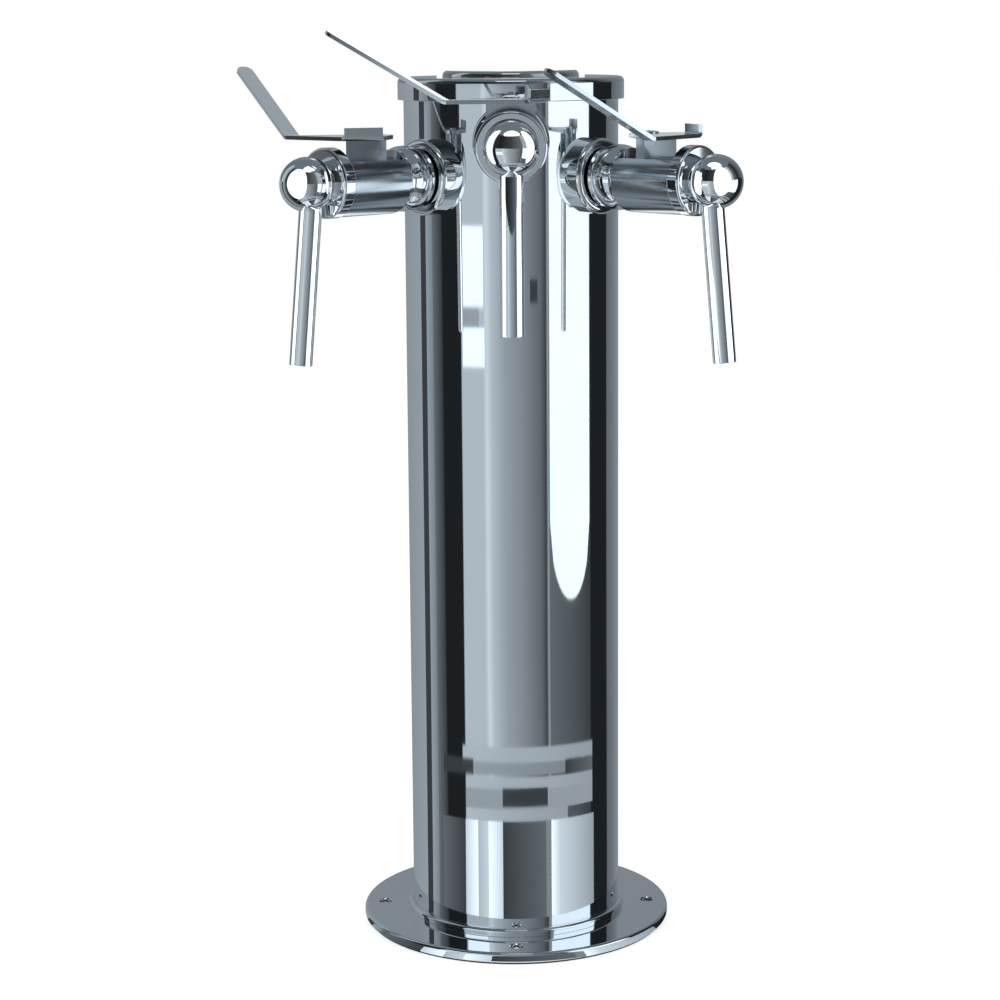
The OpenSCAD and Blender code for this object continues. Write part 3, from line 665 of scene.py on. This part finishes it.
# %% Geometry Nodes tree for a tube
tube_tree, given, result = new_group(
    "rounded_tube", "GeometryNodeTree",
    [("Outer Radius", "Float", 0.01), ("Wall", "Float", 0.001),
     ("Length", "Float", 0.1), ("Lip Radius", "Float", 0.0003),
     ("Lip Steps", "Int", 5), ("Segments", "Int", 96),
     ("Material", "Material", None)],
    [("Geometry", "Geometry")])
half_wall = maths(tube_tree, "MULTIPLY", given["Wall"], 0.5)
middle_r = maths(tube_tree, "SUBTRACT", given["Outer Radius"], half_wall)
round_path = node(tube_tree, "GeometryNodeCurvePrimitiveCircle",
                  {"Resolution": given["Segments"], "Radius": middle_r})
wall_cut = node(tube_tree, "GeometryNodeCurvePrimitiveQuadrilateral",
                {"Width": given["Wall"], "Height": given["Length"]})
lips = node(tube_tree, "GeometryNodeFilletCurve",
            {"Curve": wall_cut, "Count": given["Lip Steps"], "Radius": given["Lip Radius"]},
            mode="POLY")
swept = node(tube_tree, "GeometryNodeCurveToMesh", {"Curve": round_path, "Profile Curve": lips})


def end_tree(tree, geometry, given, result):
    """The last two nodes of every tree here: real geometry with its material."""
    real = node(tree, "GeometryNodeRealizeInstances", {0: geometry})
    dressed = node(tree, "GeometryNodeSetMaterial", {"Geometry": real, "Material": given["Material"]})
    fill(tree, result, {"Geometry": dressed})


end_tree(tube_tree, swept, given, result)


def from_tree(name, tree, values, start=None):
    """An object made by a Geometry Nodes tree with the given named inputs, as a plain mesh."""
    made = bpy.data.objects.new(name, start or bpy.data.meshes.new(name))
    bpy.context.scene.collection.objects.link(made)
    modifier = made.modifiers.new(tree.name, "NODES")
    modifier.node_group = tree
    names = {item.name: item.identifier for item in tree.interface.items_tree if item.in_out == "INPUT"}
    for key, value in values.items():
        modifier[names[key]] = value
    return applied(made)


def outward(obj):
    """Merges doubles and turns every face outwards."""
    bm = bmesh.new()
    bm.from_mesh(obj.data)
    bmesh.ops.remove_doubles(bm, verts=bm.verts, dist=WELD)
    bmesh.ops.recalc_face_normals(bm, faces=bm.faces)
    bm.to_mesh(obj.data)
    bm.free()
    return obj


def tube(name, radius, wall, length, lip, place, material, segments):
    """A tube whose middle stands at the origin of place, along its Z axis."""
    made = from_tree(name, tube_tree, {"Outer Radius": radius, "Wall": wall, "Length": length,
                                       "Lip Radius": lip, "Segments": segments, "Material": material})
    made.data.transform(place)
    return smoothed(outward(made))


print("tree", tube_tree.name, "has", len(tube_tree.nodes), "nodes")

# %% [markdown]
# ## The column
# The column is standard stainless tube, mirror polished. Its outside is a true cylinder, so its reflections
# are straight stripes as long as the tube. Its lips are hidden in the base's recess and under the cap.

# %% Column tube
COLUMN_WALL = 1.5 * MM
COLUMN_LIP = 0.3 * MM
COLUMN_SEGMENTS = 256
column_mid = Matrix.Translation((0, 0, (column_low.z + column_high.z) / 2))
column = tube("column", column_r, COLUMN_WALL, column_high.z - column_low.z, COLUMN_LIP, column_mid,
              column_steel, COLUMN_SEGMENTS)
settle(column, "tower", "polished_column", "column_tube")
print("column", round(2 * column_r / MM, 1), "mm across,", len(column.data.polygons), "faces")

# %% [markdown]
# ## Base flange with screw holes
# The flange is turned from plate, with a rounded rim. Four holes stand on one circle. Holes that repeat are
# a job for Geometry Nodes: the tree sets one cutter on each point of a circle and cuts them all out of the
# flange at once. The cutter is a drill with a small cone on top, which leaves the chamfer that glints in
# the photograph.

# %% Geometry Nodes tree for holes on a circle
HOLE_SEGMENTS = 48
holes_tree, given, result = new_group(
    "holes_on_a_circle", "GeometryNodeTree",
    [("Geometry", "Geometry", None), ("Circle Radius", "Float", 0.065),
     ("Count", "Int", 4), ("Hole Radius", "Float", 0.003),
     ("Chamfer", "Float", 0.0005), ("Top", "Float", 0.006),
     ("Depth", "Float", 0.02), ("Material", "Material", None)],
    [("Geometry", "Geometry")])
double_chamfer = maths(holes_tree, "MULTIPLY", given["Chamfer"], 2.0)
cone_r = maths(holes_tree, "ADD", given["Hole Radius"], double_chamfer)
cone_z = maths(holes_tree, "SUBTRACT", given["Top"], given["Chamfer"])
drill = node(holes_tree, "GeometryNodeMeshCylinder",
             {"Vertices": HOLE_SEGMENTS, "Radius": given["Hole Radius"], "Depth": given["Depth"]})
cone = node(holes_tree, "GeometryNodeMeshCone",
            {"Vertices": HOLE_SEGMENTS, "Radius Top": cone_r, "Radius Bottom": given["Hole Radius"],
             "Depth": double_chamfer})
circle = node(holes_tree, "GeometryNodeCurvePrimitiveCircle",
              {"Resolution": given["Count"], "Radius": given["Circle Radius"]})
points = node(holes_tree, "GeometryNodeCurveToPoints", {"Curve": circle}, mode="EVALUATED")
drilled = given["Geometry"]
for cutter, height in ((drill, given["Top"]), (cone, cone_z)):
    at = node(holes_tree, "ShaderNodeCombineXYZ", {"Z": height})
    raised = node(holes_tree, "GeometryNodeTransform",
                  {"Geometry": cutter.outputs["Mesh"], "Translation": at})
    cutters = node(holes_tree, "GeometryNodeInstanceOnPoints",
                   {"Points": points.outputs["Points"], "Instance": raised})
    real = node(holes_tree, "GeometryNodeRealizeInstances", {0: cutters})
    cut = node(holes_tree, "GeometryNodeMeshBoolean", {"Mesh 1": drilled, "Mesh 2": real},
               operation="DIFFERENCE", solver="EXACT")
    drilled = cut.outputs["Mesh"]
end_tree(holes_tree, drilled, given, result)
print("tree", holes_tree.name, "has", len(holes_tree.nodes), "nodes")

# %% Base flange
FLANGE_RIM_R = 1.6 * MM
FLANGE_BORE_R = 0.4 * MM
HOLE_CHAMFER = 0.5 * MM
screws = mount("base_screws")["dims"]
bore_r = mount("pipe_passage")["dims"]["r_mm"] * MM
flange_low, flange_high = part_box("base_flange")
flange_r = (flange_high.x - flange_low.x) / 2
flange_bm = lathe(rounded([
    (bore_r, flange_low.z, FLANGE_BORE_R), (flange_r, flange_low.z, FLANGE_RIM_R),
    (flange_r, flange_high.z, FLANGE_RIM_R), (bore_r, flange_high.z, FLANGE_BORE_R)]))
flange_start = bpy.data.meshes.new("flange_blank")
flange_bm.to_mesh(flange_start)
flange_bm.free()
flange = from_tree("base_plate", holes_tree, {
    "Circle Radius": screws["pcd_mm"] / 2 * MM, "Count": screws["count"],
    "Hole Radius": screws["hole_r_mm"] * MM, "Chamfer": HOLE_CHAMFER, "Top": flange_high.z,
    "Depth": 4 * flange_high.z, "Material": base_steel}, start=flange_start)
settle(smoothed(outward(flange)), "tower", "polished_base", "base_flange")
print("flange", round(2 * flange_r / MM, 1), "mm across,", len(flange.data.polygons), "faces")

# %% [markdown]
# ## Foot ring and cap
# A thin ring with a rounded shoulder closes the joint between the column and the flange. The cap overhangs
# the column a little, and carries a raised disc whose edge is rounded almost over its whole height.

# %% Foot ring and cap
RING_EDGE_R = 1.5 * MM
RING_LIP_R = 0.15 * MM
CAP_EDGE_R = 2.4 * MM
CAP_LIP_R = 0.4 * MM
DISC_R = 32.25 * MM
DISC_H = 3.0 * MM
DISC_EDGE_R = 2.5 * MM
DISC_FOOT_R = 0.3 * MM
CAP_TOP_T = 2.5 * MM
CAP_RIM_H = 10.5 * MM
ring_low, ring_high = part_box("foot_ring")
ring_r = (ring_high.x - ring_low.x) / 2
foot = plain_object("foot_collar", lathe(rounded([
    (column_r, ring_low.z, 0), (ring_r, ring_low.z, RING_LIP_R), (ring_r, ring_high.z, RING_EDGE_R),
    (column_r, ring_high.z, RING_LIP_R)])), base_steel)
settle(smoothed(foot), "tower", "polished_base", "foot_ring")

cap_low, cap_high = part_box("top_cap")
cap_r = (cap_high.x - cap_low.x) / 2
cap_top = cap_high.z - DISC_H
cap = plain_object("column_cap", lathe(rounded([
    (0, cap_top - CAP_TOP_T, 0), (column_r, cap_top - CAP_TOP_T, 0), (column_r, cap_top - CAP_RIM_H, 0),
    (cap_r, cap_top - CAP_RIM_H, CAP_LIP_R), (cap_r, cap_top, CAP_EDGE_R), (DISC_R, cap_top, DISC_FOOT_R),
    (DISC_R, cap_high.z, DISC_EDGE_R), (0, cap_high.z, 0)])), base_steel)
settle(smoothed(cap), "tower", "polished_base", "top_cap")
print("cap", round(2 * cap_r / MM, 1), "mm across, its disc", round(2 * DISC_R / MM, 1))

# %% [markdown]
# ## Turned pieces of the taps
# Rosette, coupling nut, front ring and nose ball are turned about the tap's own axis. The lathe helper
# spins about Z, so a quarter turn about Y lays the axis along the tap. The rosette's back then follows the
# column: each of its rear points slides along the tap until it meets the cylinder.

# %% Turned pieces of the taps
ALONG_TAP = Matrix.Rotation(QUARTER, 4, "Y")
ROSETTE_EDGE_R = 2.6 * MM
ROSETTE_BORE_R = 7.2 * MM
SEAT_GAP = 0.03 * MM
NUT_CROWN = 1.3 * MM
NUT_END = 2.2 * MM
NUT_EDGE_R = 0.6 * MM
NUT_BORE_R = 6.7 * MM
RING_BORE_R = 5.05 * MM
FRONT_RING_EDGE_R = 1.2 * MM
NECK_R = 5.0 * MM
BARREL_STEPS = 16
BALL_STEPS = 48
SMALL_SEGMENTS = 96


def on_tap(name, bm, tap, material):
    """A piece that is worked out in the tap's frame, put in its place and smoothed."""
    bm.transform(TAPS[tap])
    return smoothed(plain_object(name, bm, material))


def turned(outline):
    """Mesh data of an outline of (radius, way along the tap, rounding), spun round the tap's axis."""
    bm = lathe(rounded(outline))
    bm.transform(ALONG_TAP)
    return bm


def rosette_mesh():
    back, front, radius = along_tap("rosette")
    bm = turned([(ROSETTE_BORE_R, back, 0), (radius, back, 0), (radius, front, ROSETTE_EDGE_R),
                 (ROSETTE_BORE_R, front, RING_LIP_R)])
    for vert in bm.verts:
        if vert.co.x < back + WELD:
            vert.co.x = math.sqrt((column_r + SEAT_GAP) ** 2 - vert.co.y ** 2) - stem_r
    return bm


def nut_mesh():
    back, front, radius = along_tap("coupling_nut")
    end_r = radius - NUT_CROWN
    crown_l = front - back - 2 * NUT_END
    crown_r = (crown_l ** 2 / 4 + NUT_CROWN ** 2) / (2 * NUT_CROWN)
    half = math.asin(crown_l / 2 / crown_r)
    barrel = arc(radius - crown_r, (back + front) / 2, crown_r, -half, half, BARREL_STEPS)
    return turned([(NUT_BORE_R, back, RING_LIP_R), (end_r, back, NUT_EDGE_R), *barrel,
                   (end_r, front, NUT_EDGE_R), (NUT_BORE_R, front, RING_LIP_R)])


def front_ring_mesh():
    _, front, radius = along_tap("end_ring")
    _, back, _ = along_tap("tap_body")
    return turned([(RING_BORE_R, back, 0), (radius, back, RING_LIP_R), (radius, front, FRONT_RING_EDGE_R),
                   (RING_BORE_R, front, RING_LIP_R)])


def nose_mesh():
    back, front, radius = along_tap("nose_ball")
    _, ring_face, _ = along_tap("end_ring")
    centre = front - radius
    ball = arc(0, centre, radius, math.asin((ring_face - centre) / radius), QUARTER, BALL_STEPS)
    return turned([(0, back, 0), (NECK_R, back, 0), (NECK_R, ring_face, 0), *ball])


TURNED = {
    "rosette": rosette_mesh,
    "coupling_nut": nut_mesh,
    "end_ring": front_ring_mesh,
    "nose_ball": nose_mesh,
}
for tap in TAPS:
    for piece, make in TURNED.items():
        made = on_tap("turned_" + piece + "_" + tap, make(), tap, tap_chrome)
        settle(made, "tower", "chromed_tap", piece + "_" + tap)
print(len(TAPS) * len(TURNED), "turned pieces on the taps")

# %% [markdown]
# ## Tap bodies
# The body is a bar with a flat milled along its top, and an upright boss whose outer face is flat. Behind
# that face stands the round housing of the stem. Simple solids are joined and cut with Boolean modifiers,
# as the machinist would mill them, and a small Bevel breaks the edges. Harden Normals keeps the flats truly
# flat.

# %% Tap bodies
BODY_BACK = 10.0 * MM
FLAT_H = 9.5 * MM
BODY_EDGE_R = 0.5 * MM
BOSS_L = 5.0 * MM
BOSS_W = 22.0 * MM
HOUSING_R = 6.2 * MM
BREAK_EDGE = 0.35 * MM


def block(low, high):
    """Mesh data of a box between two corners."""
    bm = bmesh.new()
    size = Vector(high) - Vector(low)
    centre = (Vector(high) + Vector(low)) / 2
    bmesh.ops.create_cube(bm, size=1, matrix=Matrix.Translation(centre) @ Matrix.Diagonal((*size, 1)))
    return bm


def boolean(obj, bm, operation):
    """Joins mesh data to the object, or cuts it out."""
    tool = plain_object(obj.name + "_tool", bm, obj.data.materials[0])
    modifier = obj.modifiers.new(operation.lower(), "BOOLEAN")
    modifier.operation = operation
    modifier.solver = "EXACT"
    modifier.object = tool
    applied(obj)
    bpy.data.objects.remove(tool)
    return obj


def break_edges(obj, width, steps=3):
    """Rounds every edge sharper than the sharp angle."""
    modifier = obj.modifiers.new("bevel", "BEVEL")
    modifier.width = width
    modifier.segments = steps
    modifier.limit_method = "ANGLE"
    modifier.angle_limit = SHARP_ANGLE
    modifier.harden_normals = True
    obj.data.shade_smooth()
    return applied(obj)


def on_each_tap(pattern, name, body, slot, replaced):
    """Copies of the pattern's mesh, one on each tap. A {} in the body's name stands for the tap."""
    material = pattern.data.materials[0]
    for tap in TAPS:
        bm = bmesh.new()
        bm.from_mesh(pattern.data)
        made = on_tap(name + "_" + tap, bm, tap, material)
        settle(made, body.format(tap), slot, replaced + "_" + tap)
    bpy.data.objects.remove(pattern)
    return made


def body_object(name, material):
    low, high = tap_box("tap_body")
    radius = (high.y - low.y) / 2
    bar = turned([(0, -BODY_BACK, 0), (radius, -BODY_BACK, BODY_EDGE_R), (radius, high.x, BODY_EDGE_R),
                  (0, high.x, 0)])
    made = plain_object(name, bar, material)
    far = 2 * radius
    boolean(made, block((-BODY_BACK - far, -far, FLAT_H), (high.x + far, far, far)), "DIFFERENCE")
    boolean(made, block((HOUSING_R - BOSS_L, -BOSS_W / 2, 0), (HOUSING_R, BOSS_W / 2, high.z)), "UNION")
    housing = lathe([(0, 0), (HOUSING_R, 0), (HOUSING_R, high.z), (0, high.z)], SMALL_SEGMENTS)
    boolean(made, housing, "UNION")
    return break_edges(made, BREAK_EDGE)


made = on_each_tap(body_object("body_pattern", body_chrome), "milled_tap_body", "tower", "chromed_tap",
                   "tap_body")
print("tap body:", len(made.data.polygons), "faces")

# %% [markdown]
# ## Spouts
# Each spout is a plain tube that leans outwards a little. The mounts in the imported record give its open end
# and its direction, so the tube tree only needs its sizes and one matrix that turns Z along the spout.

# %% Spouts
SPOUT_R = 5.2 * MM
SPOUT_WALL = 1.0 * MM
SPOUT_L = 75.5 * MM
SPOUT_LIP = 0.35 * MM
for tap in TAPS:
    end = mount("spout_end_" + tap)
    down = Vector(end["axis"]).normalized()
    middle = Vector(end["pos_m"]) - down * SPOUT_L / 2
    place = Matrix.Translation(middle) @ down.to_track_quat("Z", "Y").to_matrix().to_4x4()
    made = tube("spout_" + tap, SPOUT_R, SPOUT_WALL, SPOUT_L, SPOUT_LIP, place, tap_chrome, SMALL_SEGMENTS)
    settle(made, "tower", "chromed_tap", "spout_tube_" + tap)
print("spouts lean", round(math.degrees(down.angle(Vector((0, 0, -1)))), 1), "degrees")

# %% [markdown]
# ## Levers folded from a blank
# A lever is one flat blank of sheet steel, folded twice: a short finger tab stands up at one end and the
# long arm rises at the other. The mesh is made the same way. A flat outline is cut across at each fold and
# its points roll up round the fold line. Solidify then gives it the sheet's thickness, and Bevel rounds the
# edges. The arm keeps nearly one width, as in the photograph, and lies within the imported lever's wider arm.

# %% Blank of the lever
SHEET_T = 1.8 * MM
EYE_R = 9.5 * MM
BEND_AT = Vector((24.0 * MM, -27.0 * MM))
ARM_SWEEP = math.radians(14.3)
ARM_SLOPE = math.radians(29.6)
ARM_PLAN_L = 54.5 * MM
ARM_ROOT_W = 7.2 * MM
ARM_TIP_W = 7.6 * MM
ARM_FOLD_R = 3.0 * MM
TAB_IN = Vector((8.3 * MM, 17.0 * MM))
TAB_OUT = Vector((23.4 * MM, 8.6 * MM))
TAB_H = 4.0 * MM
TAB_FOLD_R = 0.5 * MM
EDGE_ROUND = 0.45 * MM
OUTLINE_STEPS = 16
FOLD_STEPS = 8
arm_dir = Vector((-math.sin(ARM_SWEEP), -math.cos(ARM_SWEEP)))
arm_side = Vector((math.cos(ARM_SWEEP), -math.sin(ARM_SWEEP)))


def touch(point, radius, side):
    """Where a line from the point touches a circle of that radius about the origin."""
    a = math.atan2(point.y, point.x) + side * math.acos(radius / point.length)
    return radius * Vector((math.cos(a), math.sin(a)))


def blank_outline():
    """The flat blank's outline, anticlockwise, with the arm and the tab rolled out flat."""
    mid_r = ARM_FOLD_R + SHEET_T / 2
    risen = ARM_PLAN_L - mid_r * math.sin(ARM_SLOPE)
    flat_l = mid_r * ARM_SLOPE + risen / math.cos(ARM_SLOPE)
    tip_r = ARM_TIP_W / 2
    tip = BEND_AT + arm_dir * (flat_l - tip_r)
    root_out = BEND_AT + arm_side * ARM_ROOT_W / 2
    root_in = BEND_AT - arm_side * ARM_ROOT_W / 2
    heading = math.atan2(arm_dir.y, arm_dir.x)
    tip_round = circle_part(*tip, tip_r, heading + QUARTER, heading - QUARTER, OUTLINE_STEPS)
    eye_in, eye_out = touch(root_in, EYE_R, -1), touch(TAB_IN, EYE_R, 1)
    first = math.atan2(eye_in.y, eye_in.x)
    last = math.atan2(eye_out.y, eye_out.x)
    last -= 2 * math.pi if last > first else 0
    eye = circle_part(0, 0, EYE_R, first, last, OUTLINE_STEPS)
    tab_mid_r = TAB_FOLD_R + SHEET_T / 2
    rise = SHEET_T / 2 + TAB_H - tab_mid_r
    grown = tab_mid_r * QUARTER + rise - (TAB_FOLD_R + SHEET_T)
    along = (TAB_OUT - TAB_IN).normalized()
    up = Vector((-along.y, along.x))
    return [root_in, *eye, TAB_IN, TAB_IN + up * grown, TAB_OUT + up * grown, TAB_OUT, root_out, *tip_round]


blank = blank_outline()
print("the blank has", len(blank), "points")


# %% Folding a flat mesh
def fold(bm, point, across, angle, radius):
    """Rolls what lies past the point, in the direction across, upwards round a fold of that radius."""
    arc_l = radius * angle
    normal = Vector((across.x, across.y, 0))
    for k in range(FOLD_STEPS + 1):
        at = Vector((point.x, point.y, 0)) + normal * arc_l * k / FOLD_STEPS
        bmesh.ops.bisect_plane(bm, geom=bm.verts[:] + bm.edges[:] + bm.faces[:], plane_co=at, plane_no=normal)
    for vert in bm.verts:
        past = (vert.co - Vector((point.x, point.y, 0))).dot(normal)
        if past <= 0:
            continue
        turned = min(past / radius, angle)
        rest = max(past - arc_l, 0)
        level = radius * math.sin(turned) + rest * math.cos(angle)
        vert.co += normal * (level - past)
        vert.co.z += radius * (1 - math.cos(turned)) + rest * math.sin(angle)


def lever_object(name, blank, material):
    bm = bmesh.new()
    bm.faces.new([bm.verts.new((p.x, p.y, 0)) for p in blank])
    along = (TAB_OUT - TAB_IN).normalized()
    up = Vector((-along.y, along.x))
    tab_start = TAB_IN - up * (TAB_FOLD_R + SHEET_T)
    fold(bm, BEND_AT, arm_dir, ARM_SLOPE, ARM_FOLD_R + SHEET_T / 2)
    fold(bm, tab_start, up, QUARTER, TAB_FOLD_R + SHEET_T / 2)
    bmesh.ops.recalc_face_normals(bm, faces=bm.faces)
    bm.transform(Matrix.Translation((0, 0, tap_box("lever")[0].z + SHEET_T / 2)))
    made = plain_object(name, bm, material)
    thick = made.modifiers.new("sheet", "SOLIDIFY")
    thick.thickness = SHEET_T
    thick.offset = 0
    applied(made)
    return break_edges(outward(made), EDGE_ROUND)


on_each_tap(lever_object("lever_pattern", blank, lever_chrome), "folded_lever", "handle_{}", "lever_steel",
            "lever")
low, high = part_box("lever_front")
corners = bpy.data.objects["folded_lever_front"].bound_box
print("lever, mm off the frame's box:", [round((a - b) / MM, 2) for a, b in zip(corners[0], low)],
      [round((a - b) / MM, 2) for a, b in zip(corners[6], high)])

# %% [markdown]
# ## Lever screws
# A low round screw holds each lever on its stem. Its head is slightly domed, which is one more arc on the
# lathe, and a six-sided key socket is cut into it with a six-sided prism.

# %% Lever screws
HEAD_EDGE_H = 0.7 * MM
SOCKET_R = 1.7 * MM
SOCKET_DEPTH = 0.8 * MM
SCREW_R = 1.2 * MM
DOME_STEPS = 10


def screw_object(name, material):
    low, high = tap_box("lever_screw")
    radius = (high.y - low.y) / 2
    seat = tap_box("lever")[0].z + SHEET_T
    dome_h = high.z - seat - HEAD_EDGE_H
    dome_r = (radius ** 2 + dome_h ** 2) / (2 * dome_h)
    dome = arc(0, high.z - dome_r, dome_r, math.acos(radius / dome_r), QUARTER, DOME_STEPS)
    outline = [(0, low.z, 0), (SCREW_R, low.z, 0), (SCREW_R, seat, 0), (radius, seat, 0), *dome]
    made = plain_object(name, lathe(rounded(outline), SMALL_SEGMENTS), material)
    socket = bmesh.new()
    bmesh.ops.create_cone(socket, cap_ends=True, segments=6, radius1=SOCKET_R, radius2=SOCKET_R,
                          depth=2 * SOCKET_DEPTH, matrix=Matrix.Translation((0, 0, high.z)))
    return boolean(made, socket, "DIFFERENCE")


made = on_each_tap(screw_object("screw_pattern", lever_chrome), "domed_screw", "handle_{}", "lever_steel",
                   "lever_screw")
print("screws:", len(made.data.polygons), "faces each")

# %% [markdown]
# ## Small soft lamps for the taps
# In the photograph the small parts mirror lights that the column does not: a round window on each outer
# ball, two tall strips beside the front one, strips along the spouts and a soft sheen on the levers. Light
# linking lets each of these lamps shine on its own piece only, so the column keeps its calm stripes. They
# are large for their distance and weak.

# %% Lamps linked to single pieces
LAMP_GLOW = 1.5
BALL_LAMP_WAY = 0.07
SPOUT_LAMP_WAY = 0.10
SPOUT_LAMP_SIZE = (0.07, 0.5)
SPOUT_LAMP_TURNS = {"a": -80, "b": 80}
LEVER_LAMP_WAY = 0.30
LEVER_LAMP_SIZE = (0.6, 0.5)
LEVER_LAMP_TURN, LEVER_LAMP_RISE = 170, 32
LEVER_GLOW = {"left": 0.22, "front": 0.6, "right": 0.3}


def linked_lamp(name, pieces, centre, direction, rise, way, size, shape="ELLIPSE", glow=LAMP_GLOW):
    """A lamp that only the named pieces mirror; direction and rise are degrees, seen from the centre."""
    a, b = math.radians(direction), math.radians(rise)
    out = Vector((math.sin(a) * math.cos(b), -math.cos(a) * math.cos(b), math.sin(b)))
    area = size[0] * size[1] * (math.pi / 4 if shape == "ELLIPSE" else 1)
    lamp = area_lamp(name, glow * math.pi * area, centre + out * way, centre, size, shape)
    lamp.visible_camera = False
    lit = bpy.data.collections.new(name + "_receivers")
    for piece in pieces:
        lit.objects.link(bpy.data.objects[piece])
    lamp.light_linking.receiver_collection = lit


_, nose_end, nose_r = along_tap("nose_ball")
BALL_AT = Vector((nose_end - nose_r, 0, 0))
BALL_LAMPS = [
    ("left", -38, 6, (0.13, 0.22)), ("left", 106, 4, (0.05, 0.08)), ("left", 30, 66, (0.06, 0.03)),
    ("right", 22, 4, (0.10, 0.22)), ("right", -88, 0, (0.06, 0.12)), ("right", -20, 72, (0.06, 0.03)),
    ("front", -92, 8, (0.045, 0.18)), ("front", 82, 8, (0.05, 0.18)), ("front", 4, 62, (0.07, 0.03)),
]
for k, (tap, direction, rise, size) in enumerate(BALL_LAMPS):
    linked_lamp("ball_lamp_" + str(k), ["turned_nose_ball_" + tap], TAPS[tap] @ BALL_AT, direction, rise,
                BALL_LAMP_WAY, size)
for tap in TAPS:
    spout_low, spout_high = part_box("spout_tube_" + tap)
    for side, turn in SPOUT_LAMP_TURNS.items():
        linked_lamp("spout_lamp_" + tap + "_" + side, ["spout_" + tap], (spout_low + spout_high) / 2, turn, 0,
                    SPOUT_LAMP_WAY, SPOUT_LAMP_SIZE, "RECTANGLE")
    linked_lamp("lever_lamp_" + tap, ["folded_lever_" + tap], TAPS[tap].translation, LEVER_LAMP_TURN,
                LEVER_LAMP_RISE, LEVER_LAMP_WAY, LEVER_LAMP_SIZE, "RECTANGLE", glow=LEVER_GLOW[tap])
print(len(BALL_LAMPS) + 3 * len(TAPS), "linked lamps")

# %% [markdown]
# ## What stays as it was packed
# Shanks, pipes, nuts, seals and valve parts sit inside or behind other pieces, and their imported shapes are
# right. They keep their meshes and only get a finish of their own.

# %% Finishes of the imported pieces
FINISHES = {
    "shank": tap_chrome, "product_pipe": inner_steel, "valve_ball": inner_steel, "valve_stem": inner_steel,
    "saddle_washers": inner_steel, "lock_nuts": brass, "ferrules": brass, "tail_nuts": brass,
    "coupling_gaskets": rubber, "stem_seals": rubber, "spout_seals": rubber, "cap_seal": rubber,
    "base_gasket": rubber, "ball_seats": valve_plastic, "stem_bushes": valve_plastic,
    "pipe_guide": guide_plastic,
}
dressed = 0
for name, obj in nodes.items():
    kind = name
    for tap in TAPS:
        kind = kind.removesuffix("_" + tap)
    if kind in FINISHES:
        obj.data.materials.clear()
        obj.data.materials.append(FINISHES[kind])
        dressed += 1
print(dressed, "packed pieces dressed,", len(nodes) - dressed, "replaced")
